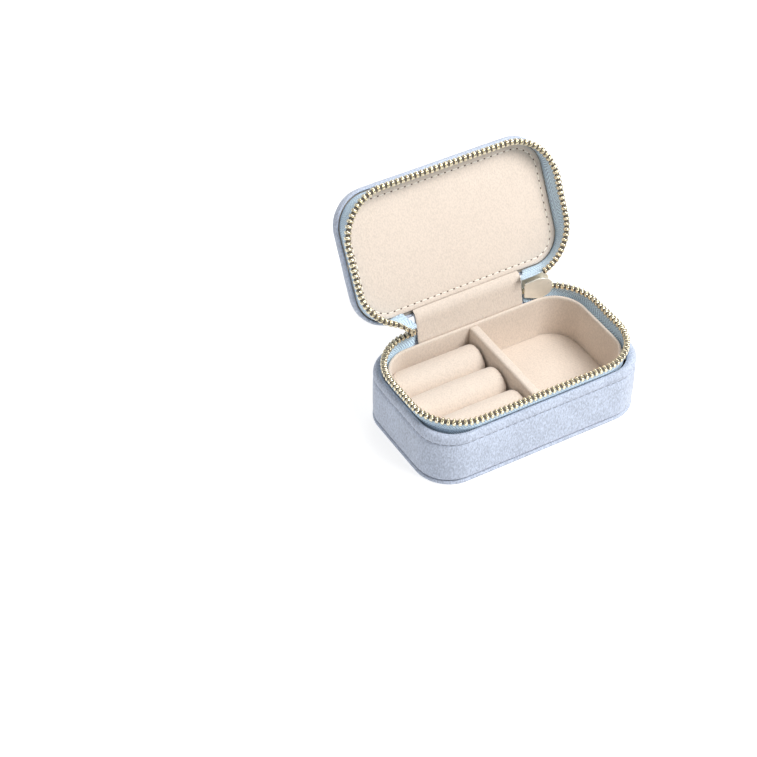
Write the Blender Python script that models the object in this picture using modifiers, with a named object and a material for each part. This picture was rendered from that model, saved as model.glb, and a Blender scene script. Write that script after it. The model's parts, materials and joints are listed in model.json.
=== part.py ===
"""Travel jewelry case: a velvet box in two halves, joined by a fabric hinge and closed by a zip.

Units are metres. The origin is the middle of the base's underside. +X runs along the length, +Y points to
the hinge side and +Z is up. The lid's pieces are modelled closed, and their pivot holds them open.
"""

import math

import bmesh
import bpy
from mathutils import Matrix, Vector

MM = 0.001

# The case as a whole
CASE_LENGTH = 100 * MM
CASE_WIDTH = 59 * MM
CASE_CORNER = 15 * MM
BASE_HEIGHT = 25.5 * MM
ZIP_OVER_BASE = 5.5 * MM
LID_OVER_ZIP = 8.5 * MM
OPEN_ANGLE = math.radians(118)
FIT_GAP = 0.3 * MM

# Materials by thickness
BOTTOM_PANEL = 2 * MM
VELVET = 1 * MM
WALL_FOAM = 1 * MM
BOARD = 1.3 * MM
LINER = 1.5 * MM
PAD = 1 * MM
TAPE = 0.6 * MM

# The tray
TRAY_OVER_BASE = 0.5 * MM
DIVIDER = 4 * MM
DIVIDER_EDGE = 1 * MM
DIVIDER_DROP = 0.5 * MM
RING_ROLLS = ("back", "middle", "front")
RING_ROLL_DROP = 4.5 * MM
RING_GROOVE = 0.6 * MM
RING_ROLL_END_GAP = 1 * MM

# The zip
ZIP_CORNER = 20 * MM
TAPE_IN_SEAM = 4 * MM
TAPE_LEAN = 0.8 * MM
CHAIN = 1.6 * MM
CHAIN_BAR = 0.7 * MM
TOOTH_HEIGHT = 0.7 * MM
TOOTH_PITCH = 2.2 * MM
CHAIN_OPENING = 1.8 * MM
CHAIN_END_GAP = 1 * MM

# The fabric hinge
HINGE_WIDTH = 50 * MM
HINGE_LINING = 0.8 * MM
HINGE_UNDER_LID = 2.1 * MM
FOLD_BELOW = 2.1 * MM
FOLD_ABOVE = 0.5 * MM

# The lid
LID_INSET = 1.4 * MM
LID_CORNER = 15 * MM
LID_EDGE_ROUND = 1.4 * MM
LID_LINING = 0.9 * MM
LID_LINING_MARGIN = 1.2 * MM

# The slider and its pull
SLIDER_LENGTH = 13 * MM
SLIDER_WIDE = 9.4 * MM
SLIDER_NARROW = 7 * MM
SLIDER_SHOULDER = 0.6 * MM
SLIDER_NOSE = 2.6 * MM
SLIDER_TIP = 3.8 * MM
SLIDER_CLEARANCE = 0.172 * MM
SLIDER_PLATE = 0.9 * MM
POST_HEIGHT = 1.2 * MM
POST_LENGTH = 1.4 * MM
POST_FROM_TIP = 1.2 * MM
SLIDER_END_GAP = 1.3 * MM
BRIDGE_ROD = 1.2 * MM
BRIDGE_SPAN = 7 * MM
BRIDGE_BEND = 2.4 * MM
BAIL_WIRE = 0.9 * MM
BAIL_DROP = 4.2 * MM
PULL_LENGTH = 20 * MM
PULL_WIDTH = 7 * MM
PULL_HEAD = 4.6 * MM
PULL_CORNER = 0.9 * MM
PULL_THICKNESS = 1.2 * MM
PULL_CLEARANCE = 0.5 * MM

# Worked out from the sizes above
ZIP_HEIGHT = BASE_HEIGHT + ZIP_OVER_BASE
LID_UNDERSIDE = ZIP_HEIGHT + LID_OVER_ZIP
TRAY_RIM_HEIGHT = BASE_HEIGHT + TRAY_OVER_BASE
HINGE_RISE = LID_UNDERSIDE - HINGE_UNDER_LID
ZIP_INSET = VELVET + FIT_GAP + TAPE / 2
ZIP_LENGTH = CASE_LENGTH - 2 * ZIP_INSET
ZIP_WIDTH = CASE_WIDTH - 2 * ZIP_INSET
LID_LENGTH = CASE_LENGTH - 2 * LID_INSET
LID_WIDTH = CASE_WIDTH - 2 * LID_INSET
LID_TOP = LID_UNDERSIDE + LID_LINING + 2 * PAD + VELVET + 3 * FIT_GAP
WALL_FOOT = BOTTOM_PANEL + FIT_GAP
TAPE_FOOT = BASE_HEIGHT - TAPE_IN_SEAM
TRAY_INSET = VELVET + WALL_FOAM + BOARD + 3 * FIT_GAP
TRAY_FOOT = WALL_FOOT + BOARD + FIT_GAP
# On the diagonal, a rounded corner lies sqrt(2) insets and (sqrt(2) - 1) radii from the sharp one.
# The tray's corner just clears the leaning tape there.
TAPE_INNER = TAPE / 2 + TAPE_LEAN
TAPE_DIAGONAL = math.sqrt(2) * (ZIP_INSET + TAPE_INNER) + (math.sqrt(2) - 1) * (ZIP_CORNER - TAPE_INNER)
TRAY_CORNER = (TAPE_DIAGONAL + FIT_GAP - math.sqrt(2) * TRAY_INSET) / (math.sqrt(2) - 1) - LINER
TRAY_FLOOR = TRAY_FOOT + LINER
SPACE_INSET = TRAY_INSET + LINER
SPACE_LENGTH = CASE_LENGTH - 2 * SPACE_INSET
SPACE_WIDTH = CASE_WIDTH - 2 * SPACE_INSET
PAD_TOP = TRAY_FLOOR + FIT_GAP + PAD
BASE_CHAIN_TIP = ZIP_HEIGHT - CHAIN_OPENING / 2
LID_CHAIN_TIP = ZIP_HEIGHT + CHAIN_OPENING / 2
CHAIN_HEIGHT = CHAIN_BAR + TOOTH_HEIGHT
# The slider is straight, so its channel also holds the height of the chain's curve over its length.
SLIDER_CHANNEL = CHAIN + SLIDER_LENGTH**2 / (8 * ZIP_CORNER) + 2 * SLIDER_CLEARANCE
HINGE_OUTER = CASE_WIDTH / 2 - VELVET / 2
HINGE_SEAM = HINGE_OUTER - VELVET
HINGE_AXIS = Vector((0, HINGE_SEAM, HINGE_RISE))

# How finely curves are divided
CORNER_STEPS = 8
ROUND_STEPS = 16
BEND_STEPS = 4
EDGE_STEPS = 3
SMOOTH_ANGLE = math.radians(35)


def outline(length, width, radius, height, steps=CORNER_STEPS):
    """The points of a rounded rectangle at one height, anticlockwise from its right side."""
    points = []
    for turn, side_x, side_y in ((0, 1, 1), (1, -1, 1), (2, -1, -1), (3, 1, -1)):
        centre = (side_x * (length / 2 - radius), side_y * (width / 2 - radius))
        for step in range(steps + 1):
            angle = (turn + step / steps) * math.pi / 2
            points.append(
                Vector((centre[0] + radius * math.cos(angle), centre[1] + radius * math.sin(angle), height))
            )
    return points


def zip_track(distance):
    """The place on the zip's line, seen from above, at a distance clockwise from the middle of the back.

    It gives the point, the direction of travel and the outward direction.
    """
    arc = ZIP_CORNER * math.pi / 2
    half_x = ZIP_LENGTH / 2 - ZIP_CORNER
    half_y = ZIP_WIDTH / 2 - ZIP_CORNER
    runs = ((half_x, arc), (2 * half_y, arc), (2 * half_x, arc), (2 * half_y, arc), (half_x, 0))
    corners = ((half_x, half_y), (half_x, -half_y), (-half_x, -half_y), (-half_x, half_y), (0, half_y))
    turned = 0
    for (straight, bend), corner in zip(runs, corners):
        along = Vector((math.cos(turned), -math.sin(turned), 0))
        outward = Vector((math.sin(turned), math.cos(turned), 0))
        centre = Vector((*corner, 0))
        if distance <= straight:
            return centre + outward * ZIP_CORNER - along * (straight - distance), along, outward
        distance -= straight
        if distance <= bend:
            angle = turned + distance / ZIP_CORNER
            along = Vector((math.cos(angle), -math.sin(angle), 0))
            outward = Vector((math.sin(angle), math.cos(angle), 0))
            return centre + outward * ZIP_CORNER, along, outward
        distance -= bend
        turned += math.pi / 2
    return centre + outward * ZIP_CORNER, along, outward


def zip_track_length():
    straights = 2 * (ZIP_LENGTH + ZIP_WIDTH) - 8 * ZIP_CORNER
    return straights + 2 * math.pi * ZIP_CORNER


def principled(name, colour, roughness, metallic=0.0):
    material = bpy.data.materials.new(name)
    material.use_nodes = True
    shader = material.node_tree.nodes["Principled BSDF"]
    shader.inputs["Base Color"].default_value = (*colour, 1)
    shader.inputs["Roughness"].default_value = roughness
    shader.inputs["Metallic"].default_value = metallic
    material.diffuse_color = (*colour, 1)
    return material


def start_scene():
    """Empties the scene and makes the collections and the materials."""
    for obj in list(bpy.data.objects):
        bpy.data.objects.remove(obj)
    collections = {}
    for name in ("travel_jewelry_case", "cutters"):
        collections[name] = bpy.data.collections.new(name)
        bpy.context.scene.collection.children.link(collections[name])
    materials = {
        "velvet": principled("velvet", (0.60, 0.66, 0.83), 0.85),
        "suede": principled("suede", (0.84, 0.71, 0.60), 0.9),
        "tape": principled("tape", (0.50, 0.66, 0.85), 0.75),
        "board": principled("board", (0.45, 0.42, 0.38), 0.9),
        "foam": principled("foam", (0.85, 0.84, 0.80), 0.9),
        "gold": principled("gold", (0.83, 0.70, 0.44), 0.25, 1.0),
    }
    return collections["travel_jewelry_case"], collections["cutters"], materials


PARTS, CUTTERS, MATERIALS = start_scene()


def pivot(name, location, parent=None):
    empty = bpy.data.objects.new(name, None)
    PARTS.objects.link(empty)
    empty.location = location
    empty.parent = parent
    return empty


def node(name, data, material, parent=None, location=(0, 0, 0)):
    """Makes a piece's object from a mesh or a curve, under its pivot if it moves."""
    obj = bpy.data.objects.new(name, data)
    PARTS.objects.link(obj)
    data.materials.append(MATERIALS[material])
    obj.parent = parent
    obj.location = location
    if obj.type == "MESH":
        data.shade_smooth()
        data.set_sharp_from_angle(angle=SMOOTH_ANGLE)
    return obj


def helper(name, mesh, parent=None, location=(0, 0, 0)):
    """Makes a cutter, or a shape that is joined to a piece."""
    obj = bpy.data.objects.new(name, mesh)
    CUTTERS.objects.link(obj)
    obj.parent = parent
    obj.location = location
    obj.hide_render = True
    obj.display_type = "WIRE"
    return obj


def combine(obj, operation, other):
    modifier = obj.modifiers.new(other.name, "BOOLEAN")
    modifier.operation = operation
    modifier.object = other


def skin(name, rows, closed=True, floor=False, top=False):
    """An open surface through rows of points, from the lowest row up, facing outwards."""
    shape = bmesh.new()
    loops = [[shape.verts.new(point) for point in row] for row in rows]
    count = len(rows[0])
    for low, high in zip(loops, loops[1:]):
        for here in range(count if closed else count - 1):
            after = (here + 1) % count
            shape.faces.new((low[here], low[after], high[after], high[here]))
    if floor:
        shape.faces.new(reversed(loops[0]))
    if top:
        shape.faces.new(loops[-1])
    mesh = bpy.data.meshes.new(name)
    shape.to_mesh(mesh)
    shape.free()
    return mesh


def shell(name, rows, thickness, material, parent=None, location=(0, 0, 0), **openings):
    """A wall of one thickness, inwards from the skin through the rows."""
    obj = node(name, skin(name, rows, **openings), material, parent, location)
    wall = obj.modifiers.new("wall", "SOLIDIFY")
    wall.thickness = thickness
    wall.offset = -1
    wall.use_even_offset = True
    return obj


def slab(name, points, depth):
    """A flat outline pushed along the depth vector."""
    shape = bmesh.new()
    face = shape.faces.new([shape.verts.new(point) for point in points])
    pushed = bmesh.ops.extrude_face_region(shape, geom=[face])["geom"]
    bmesh.ops.translate(shape, vec=depth, verts=[v for v in pushed if isinstance(v, bmesh.types.BMVert)])
    bmesh.ops.recalc_face_normals(shape, faces=shape.faces)
    mesh = bpy.data.meshes.new(name)
    shape.to_mesh(mesh)
    shape.free()
    return mesh


def block(name, low, high):
    """A box between two corners."""
    low, high = Vector(low), Vector(high)
    shape = bmesh.new()
    bmesh.ops.create_cube(shape, size=1)
    bmesh.ops.scale(shape, vec=high - low, verts=shape.verts)
    bmesh.ops.translate(shape, vec=(low + high) / 2, verts=shape.verts)
    mesh = bpy.data.meshes.new(name)
    shape.to_mesh(mesh)
    shape.free()
    return mesh


def plate(name, inset, corner, low, high, material, parent=None, location=(0, 0, 0)):
    """A flat panel of the case's outline, inset all round."""
    points = outline(CASE_LENGTH - 2 * inset, CASE_WIDTH - 2 * inset, corner, low)
    return node(name, slab(name, points, (0, 0, high - low)), material, parent, location)


def tube(name, points, rod, material, parent, location, cyclic=False):
    """A round wire through points."""
    curve = bpy.data.curves.new(name, "CURVE")
    curve.dimensions = "3D"
    curve.bevel_depth = rod / 2
    curve.bevel_resolution = 2
    curve.use_fill_caps = True
    spline = curve.splines.new("POLY")
    spline.points.add(len(points) - 1)
    for target, point in zip(spline.points, points):
        target.co = (*point, 1)
    spline.use_cyclic_u = cyclic
    return node(name, curve, material, parent, location)


# Base


def base_shells():
    """The floor panel, the velvet wall, and the foam and the board tub behind it."""
    plate("base_bottom_panel", 0, CASE_CORNER, 0, BOTTOM_PANEL, "velvet")
    wall_rows = [outline(CASE_LENGTH, CASE_WIDTH, CASE_CORNER, z) for z in (WALL_FOOT, BASE_HEIGHT)]
    shell("base_velvet_wall", wall_rows, VELVET, "velvet")
    layers = (
        ("base_foam_wall", VELVET + FIT_GAP, WALL_FOAM, "foam", False),
        ("base_board_tub", VELVET + WALL_FOAM + 2 * FIT_GAP, BOARD, "board", True),
    )
    for name, inset, thickness, material, floor in layers:
        rows = [
            outline(CASE_LENGTH - 2 * inset, CASE_WIDTH - 2 * inset, CASE_CORNER - inset, z)
            for z in (WALL_FOOT, TAPE_FOOT - FIT_GAP)
        ]
        shell(name, rows, thickness, material, floor=floor)


def tray():
    """The suede tray with its divider."""
    corner = TRAY_CORNER + LINER
    rows = [
        outline(CASE_LENGTH - 2 * TRAY_INSET, CASE_WIDTH - 2 * TRAY_INSET, corner, z)
        for z in (TRAY_FOOT, TRAY_RIM_HEIGHT)
    ]
    shell("tray_liner", rows, LINER, "suede", floor=True)
    reach = SPACE_WIDTH / 2 - FIT_GAP
    low = (-DIVIDER / 2, -reach, TRAY_FLOOR + FIT_GAP)
    high = (DIVIDER / 2, reach, TRAY_RIM_HEIGHT - DIVIDER_DROP)
    divider = node("tray_divider", block("tray_divider", low, high), "suede")
    edges = divider.modifiers.new("soft edges", "BEVEL")
    edges.width = DIVIDER_EDGE
    edges.segments = 2


def tray_contents():
    """What lies in the tray: the floor pad on the right, and the bed and the ring rolls on the left."""
    points = outline(
        SPACE_LENGTH - 2 * FIT_GAP, SPACE_WIDTH - 2 * FIT_GAP, TRAY_CORNER - FIT_GAP, TRAY_FLOOR
    )
    space = helper("tray_space", slab("tray_space", points, (0, 0, CASE_LENGTH)))
    side = DIVIDER / 2 + FIT_GAP
    floor = TRAY_FLOOR + FIT_GAP
    pad = block("tray_floor_pad", (side, -CASE_WIDTH, floor), (CASE_LENGTH, CASE_WIDTH, PAD_TOP))
    combine(node("tray_floor_pad", pad, "suede"), "INTERSECT", space)
    bed = block("ring_bed", (-CASE_LENGTH, -CASE_WIDTH, floor), (-side, CASE_WIDTH, PAD_TOP))
    combine(node("ring_bed", bed, "board"), "INTERSECT", space)

    pitch = (SPACE_WIDTH - 2 * FIT_GAP) / len(RING_ROLLS)
    radius = (pitch - RING_GROOVE) / 2
    foot = PAD_TOP + FIT_GAP
    centre_z = TRAY_RIM_HEIGHT - RING_ROLL_DROP - radius
    for row, name in enumerate(RING_ROLLS):
        centre_y = pitch * ((len(RING_ROLLS) - 1) / 2 - row)
        arch = [math.pi * step / ROUND_STEPS for step in range(ROUND_STEPS + 1)]
        profile = [(centre_y + radius * math.cos(a), centre_z + radius * math.sin(a)) for a in arch]
        profile += [(centre_y - radius, foot), (centre_y + radius, foot)]
        points = [Vector((-DIVIDER / 2 - RING_ROLL_END_GAP, y, z)) for y, z in profile]
        mesh = slab("ring_roll_" + name, points, (-CASE_LENGTH / 2, 0, 0))
        combine(node("ring_roll_" + name, mesh, "suede"), "INTERSECT", space)


# Zip


def stations(start, end, spacing):
    """Distances along the zip from start to end, evenly about one spacing apart."""
    count = max(1, round((end - start) / spacing))
    return [start + (end - start) * step / count for step in range(count + 1)]


def zipper_tape(name, start, end, low, high, seam, parent=None, location=(0, 0, 0)):
    """The strip of tape that stands along the zip's line and leans in towards its seam."""
    rows = []
    for z in (high, low):
        lean = TAPE_LEAN if z == seam else 0
        row = []
        for distance in stations(start, end, 2 * TOOTH_PITCH):
            point, _, outward = zip_track(distance)
            row.append(point + outward * (TAPE / 2 - lean) + Vector((0, 0, z)))
        rows.append(row)
    shell(name, rows, TAPE, "tape", parent, location, closed=False)


def zipper_chain(name, start, end, root, tooth, parent=None, location=(0, 0, 0)):
    """A bar along the zip's line with teeth on one side: tooth is 1 where they point up, -1 where down."""
    count = 2 * round((end - start) / TOOTH_PITCH) - 1
    step = TOOTH_PITCH / 2
    shape = bmesh.new()
    sections = []
    for place in range(count + 1):
        point, _, outward = zip_track(start + place * step)
        corners = []
        for side, rise in ((1, 0), (1, 1), (-1, 1), (-1, 0)):
            lift = Vector((0, 0, root + rise * tooth * CHAIN_BAR))
            corners.append(shape.verts.new(point + outward * side * CHAIN / 2 + lift))
        sections.append(corners)
    teeth = []
    for place, (here, after) in enumerate(zip(sections, sections[1:])):
        for corner in range(4):
            following = (corner + 1) % 4
            face = shape.faces.new((here[corner], here[following], after[following], after[corner]))
            if corner == 1 and place % 2 == 0:
                teeth.append(face)
    shape.faces.new(sections[0])
    shape.faces.new(reversed(sections[-1]))
    grown = bmesh.ops.extrude_discrete_faces(shape, faces=teeth)["faces"]
    corners = {corner for face in grown for corner in face.verts}
    bmesh.ops.translate(shape, vec=(0, 0, tooth * TOOTH_HEIGHT), verts=list(corners))
    bmesh.ops.recalc_face_normals(shape, faces=shape.faces)
    mesh = bpy.data.meshes.new(name)
    shape.to_mesh(mesh)
    shape.free()
    node(name, mesh, "gold", parent, location)


def zip_ends():
    """Where the chains start and end along the zip's line, beside the hinge."""
    start = HINGE_WIDTH / 2 + CHAIN_END_GAP
    return start, zip_track_length() - start


def slider_station():
    """Where the slider's middle is parked along the zip's line."""
    return HINGE_WIDTH / 2 + SLIDER_END_GAP + SLIDER_LENGTH / 2


def base_zip():
    start, end = zip_ends()
    tape_top = BASE_CHAIN_TIP - CHAIN_HEIGHT - FIT_GAP
    zipper_tape("base_zipper_tape", start, end, TAPE_FOOT, tape_top, TAPE_FOOT)
    zipper_chain("base_zipper_chain", start, end, BASE_CHAIN_TIP - CHAIN_HEIGHT, 1)


def lid_zip(parent, location):
    """The lid's half of the zip, which ends clear of the parked slider."""
    start, end = zip_ends()
    clear = slider_station() + SLIDER_LENGTH / 2 + CHAIN_END_GAP
    skipped = math.ceil((clear - start) / TOOTH_PITCH) + 0.5
    start += skipped * TOOTH_PITCH
    tape_foot = LID_CHAIN_TIP + CHAIN_HEIGHT + FIT_GAP
    tape_top = LID_UNDERSIDE - FIT_GAP
    zipper_tape("lid_zipper_tape", start, end, tape_foot, tape_top, tape_top, parent, location)
    zipper_chain("lid_zipper_chain", start, end, LID_CHAIN_TIP + CHAIN_HEIGHT, -1, parent, location)


# Hinge


def hinge_strips(names, low_lining, low_velvet, high, parent=None, location=(0, 0, 0)):
    """The two layers of the fabric hinge between two heights."""
    half = HINGE_WIDTH / 2
    lining_back = HINGE_SEAM - FIT_GAP
    layers = (
        (lining_back - HINGE_LINING, lining_back, low_lining, "suede"),
        (HINGE_SEAM, HINGE_OUTER, low_velvet, "velvet"),
    )
    for name, (front, back, low, material) in zip(names, layers):
        mesh = block(name, (-half, front, low), (half, back, high))
        node(name, mesh, material, parent, location)


# Lid


def lid_panels(parent, location):
    """The velvet cover and the flat layers inside it, from the lining up."""
    rows = [outline(LID_LENGTH, LID_WIDTH, LID_CORNER, LID_UNDERSIDE)]
    for step in range(EDGE_STEPS + 1):
        angle = math.pi / 2 * step / EDGE_STEPS
        inset = LID_EDGE_ROUND * (1 - math.cos(angle))
        height = LID_TOP - LID_EDGE_ROUND * (1 - math.sin(angle))
        rows.append(outline(LID_LENGTH - 2 * inset, LID_WIDTH - 2 * inset, LID_CORNER - inset, height))
    shell("lid_velvet_cover", rows, VELVET, "velvet", parent, location, top=True)

    low = LID_UNDERSIDE
    inset = LID_INSET + VELVET + FIT_GAP
    corner = LID_CORNER - VELVET - FIT_GAP
    layers = (("lid_lining_panel", LID_LINING, "suede"), ("lid_board", PAD, "board"), ("lid_foam_pad", PAD, "foam"))
    for name, thickness, material in layers:
        # The lining stops short of the tape's seam, and the foam lies where the cover's edge rounds inwards.
        tuck = {"suede": LID_LINING_MARGIN, "board": 0, "foam": LID_EDGE_ROUND}[material]
        plate(name, inset + tuck, corner - tuck, low, low + thickness, material, parent, location)
        low += thickness + FIT_GAP


# Slider


def shield(y):
    """The slider plate's outline, from its narrow end to its rounded nose."""
    half = SLIDER_LENGTH / 2
    upper = [(-half, SLIDER_NARROW / 2), (SLIDER_SHOULDER, SLIDER_WIDE / 2)]
    for step in range(EDGE_STEPS + 1):
        angle = math.pi / 2 * step / EDGE_STEPS
        x = half - SLIDER_NOSE * (1 - math.sin(angle))
        upper.append((x, SLIDER_TIP / 2 + (SLIDER_WIDE - SLIDER_TIP) / 2 * math.cos(angle)))
    lower = [(x, -z) for x, z in reversed(upper)]
    return [Vector((x, y, z)) for x, z in (*upper, *lower)]


def slider_tuck():
    """How far a straight slider sits inside the curved chain: half of the chain's rise over its length."""
    return (SLIDER_LENGTH / 2) ** 2 / (4 * ZIP_CORNER)


def bridge_reach():
    """How far out of the slider's middle the bridge's bar runs, so that the pull hangs clear of the wall."""
    centre_gap = Vector(
        (
            (CASE_LENGTH / 2 - CASE_CORNER) - (ZIP_LENGTH / 2 - ZIP_CORNER),
            (CASE_WIDTH / 2 - CASE_CORNER) - (ZIP_WIDTH / 2 - ZIP_CORNER),
        )
    )
    wall_reach = centre_gap.length + CASE_CORNER
    return wall_reach + PULL_CLEARANCE + PULL_THICKNESS / 2 - (ZIP_CORNER - slider_tuck())


def slider(parent, station):
    """The slider's body, round the zip's line, and its bridge. The narrow end is at -X, the outside at +Y."""
    channel = SLIDER_CHANNEL / 2
    body = node("slider_body", slab("slider_body", shield(channel), (0, SLIDER_PLATE, 0)), "gold", parent, station)
    inner = slab("slider_inner_plate", shield(-channel - SLIDER_PLATE), (0, SLIDER_PLATE, 0))
    combine(body, "UNION", helper("slider_inner_plate", inner, parent, station))
    sunk = channel + SLIDER_PLATE / 2
    post_end = SLIDER_LENGTH / 2 - POST_FROM_TIP
    post_low = (post_end - POST_LENGTH, -sunk, -POST_HEIGHT / 2)
    post = block("slider_post", post_low, (post_end, sunk, POST_HEIGHT / 2))
    combine(body, "UNION", helper("slider_post", post, parent, station))

    foot = channel + SLIDER_PLATE + FIT_GAP
    bar = bridge_reach()
    points = [Vector((-BRIDGE_SPAN / 2, foot, 0))]
    for side, turns in ((-1, range(BEND_STEPS + 1)), (1, range(BEND_STEPS, -1, -1))):
        for turn in turns:
            angle = math.pi / 2 * turn / BEND_STEPS
            across = BRIDGE_SPAN / 2 - BRIDGE_BEND * (1 - math.cos(angle))
            points.append(Vector((side * across, bar - BRIDGE_BEND * (1 - math.sin(angle)), 0)))
    points.append(Vector((BRIDGE_SPAN / 2, foot, 0)))
    tube("slider_bridge", points, BRIDGE_ROD, "gold", parent, station)


def pull(parent):
    """The wire bail round the bridge's bar and the flat pull that hangs from it, about the bar's axis."""
    inner = PULL_THICKNESS / 2 + PULL_CLEARANCE
    half_width = inner + BAIL_WIRE / 2
    top = BRIDGE_ROD / 2 + FIT_GAP + BAIL_WIRE / 2
    bottom = -BAIL_DROP - BAIL_WIRE / 2
    # The bends stop short of the middle, so that no two points of the wire meet.
    loop = outline(2 * half_width, top - bottom, half_width - FIT_GAP / 2, 0, BEND_STEPS)
    points = [Vector((0, point.x, point.y + (top + bottom) / 2)) for point in loop]
    tube("pull_bail", points, BAIL_WIRE, "gold", parent, (0, 0, 0), cyclic=True)

    hole = BAIL_WIRE / 2 + PULL_CLEARANCE
    hole_z = bottom + BAIL_WIRE / 2 - hole + FIT_GAP
    head_top = hole_z + hole + PULL_THICKNESS
    end = -PULL_LENGTH
    waist = head_top - PULL_HEAD
    right = (
        (PULL_HEAD / 2 - PULL_CORNER, head_top),
        (PULL_HEAD / 2, head_top - PULL_CORNER),
        (PULL_WIDTH / 2, waist),
        (PULL_WIDTH / 2, end + PULL_CORNER),
        (PULL_WIDTH / 2 - PULL_CORNER, end),
    )
    rim = [*right, *((-x, z) for x, z in reversed(right))]
    angles = [2 * math.pi * step / ROUND_STEPS for step in range(ROUND_STEPS)]
    opening = [(hole * math.cos(a), hole_z + hole * math.sin(a)) for a in angles]
    curve = bpy.data.curves.new("pull_tab", "CURVE")
    curve.dimensions = "2D"
    curve.fill_mode = "BOTH"
    curve.extrude = PULL_THICKNESS / 2
    for points in (rim, opening):
        spline = curve.splines.new("POLY")
        spline.points.add(len(points) - 1)
        for target, (x, z) in zip(spline.points, points):
            target.co = (x, z, 0, 1)
        spline.use_cyclic_u = True
    tab = node("pull_tab", curve, "gold", parent)
    tab.rotation_euler.x = math.pi / 2


def main():
    base_shells()
    tray()
    tray_contents()
    base_zip()
    fold_foot = HINGE_RISE - FOLD_BELOW
    hinge_strips(
        ("hinge_lining_strip", "hinge_velvet_strip"), TAPE_FOOT, BASE_HEIGHT + FIT_GAP, fold_foot
    )

    lid_pivot = pivot("lid_pivot", HINGE_AXIS)
    lid_pivot.rotation_euler.x = -OPEN_ANGLE
    lid_panels(lid_pivot, -HINGE_AXIS)
    lid_zip(lid_pivot, -HINGE_AXIS)
    fold_head = HINGE_RISE + FOLD_ABOVE
    lid_names = ("lid_hinge_lining", "lid_hinge_velvet")
    hinge_strips(lid_names, fold_head, fold_head, LID_UNDERSIDE - FIT_GAP, lid_pivot, -HINGE_AXIS)

    corner_centre = Vector((ZIP_LENGTH / 2 - ZIP_CORNER, ZIP_WIDTH / 2 - ZIP_CORNER, ZIP_HEIGHT))
    point, along, outward = zip_track(slider_station())
    slider_pivot = pivot("slider_pivot", corner_centre)
    slider_pivot.rotation_euler.z = math.atan2(along.y, along.x)
    facing = Matrix.Rotation(-slider_pivot.rotation_euler.z, 3, "Z")
    station = facing @ (point - outward * slider_tuck() + Vector((0, 0, ZIP_HEIGHT)) - corner_centre)
    slider(slider_pivot, station)
    pull_pivot = pivot("pull_pivot", station + Vector((0, bridge_reach(), 0)), slider_pivot)
    pull(pull_pivot)


main()
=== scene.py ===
"""Looks of the travel jewelry case: velvet shell, suede tray, ring rolls, padded lid and zip.

Units are metres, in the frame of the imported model: +X along the length, +Y to the hinge, +Z up.
The lid's pieces are shaped closed and then swung open about the hinge.
"""

import json
import math

import bmesh
import bpy
from bpy.props import FloatProperty, FloatVectorProperty, IntProperty, PointerProperty
from mathutils import Matrix, Vector


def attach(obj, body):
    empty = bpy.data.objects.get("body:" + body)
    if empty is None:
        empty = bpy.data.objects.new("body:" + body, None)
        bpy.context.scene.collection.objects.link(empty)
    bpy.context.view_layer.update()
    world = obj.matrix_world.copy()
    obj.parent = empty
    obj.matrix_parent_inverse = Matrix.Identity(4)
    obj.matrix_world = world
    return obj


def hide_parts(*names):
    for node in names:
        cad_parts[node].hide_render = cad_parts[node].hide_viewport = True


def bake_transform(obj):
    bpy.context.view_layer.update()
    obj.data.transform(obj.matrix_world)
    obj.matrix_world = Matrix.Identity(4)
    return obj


bl_info = {
    "name": "Travel Jewelry Case",
    "version": (1, 0, 0),
    "blender": (4, 5, 0),
    "location": "3D Viewport > Sidebar > Jewelry Case",
    "description": "Builds a zipped velvet jewelry case around its packed frame",
    "category": "Object",
}

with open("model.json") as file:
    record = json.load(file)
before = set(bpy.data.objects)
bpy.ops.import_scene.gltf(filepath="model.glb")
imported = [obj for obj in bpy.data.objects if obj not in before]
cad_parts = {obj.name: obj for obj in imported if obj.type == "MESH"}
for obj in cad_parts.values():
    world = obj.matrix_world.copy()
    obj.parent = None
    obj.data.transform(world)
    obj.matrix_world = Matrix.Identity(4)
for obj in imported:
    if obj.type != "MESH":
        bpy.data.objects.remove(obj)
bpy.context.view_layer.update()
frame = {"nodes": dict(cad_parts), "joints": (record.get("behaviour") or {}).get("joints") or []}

MM = 0.001


# The frame's facts


def local_box(node, matrix=None):
    """The lowest and the highest corner of a CAD node, seen through a matrix."""
    matrix = matrix or Matrix.Identity(4)
    points = [matrix @ vert.co for vert in frame["nodes"][node].data.vertices]
    low = Vector([min(point[axis] for point in points) for axis in range(3)])
    high = Vector([max(point[axis] for point in points) for axis in range(3)])
    return low, high


def joint(name):
    return next(item for item in frame["joints"] if item["name"] == name)


def turn_about(point, angle):
    """A turn about the X line through a point, which opens the lid when the angle is positive."""
    return Matrix.Translation(point) @ Matrix.Rotation(-angle, 4, "X") @ Matrix.Translation(-point)


HINGE = Vector(joint("lid_hinge")["pos_m"])
OPEN_ANGLE = math.radians(joint("lid_hinge")["range_deg"][1])
OPEN = turn_about(HINGE, OPEN_ANGLE)
CLOSE = OPEN.inverted()

WALL_LOW, WALL_HIGH = local_box("base_velvet_wall")
PANEL_LOW, PANEL_HIGH = local_box("base_bottom_panel")
TRAY_LOW, TRAY_HIGH = local_box("tray_liner")
DIVIDER_LOW, DIVIDER_HIGH = local_box("tray_divider")
CHAIN_LOW, CHAIN_HIGH = local_box("base_zipper_chain")
LINING_LOW, LINING_HIGH = local_box("lid_lining_panel", CLOSE)
COVER_LOW, COVER_HIGH = local_box("lid_velvet_cover", CLOSE)
HINGE_HALF = local_box("hinge_lining_strip")[1].x
PARK_CENTRE = Vector(joint("slider_travel")["pos_m"])
ZIP_MIDDLE = PARK_CENTRE.z


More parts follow.
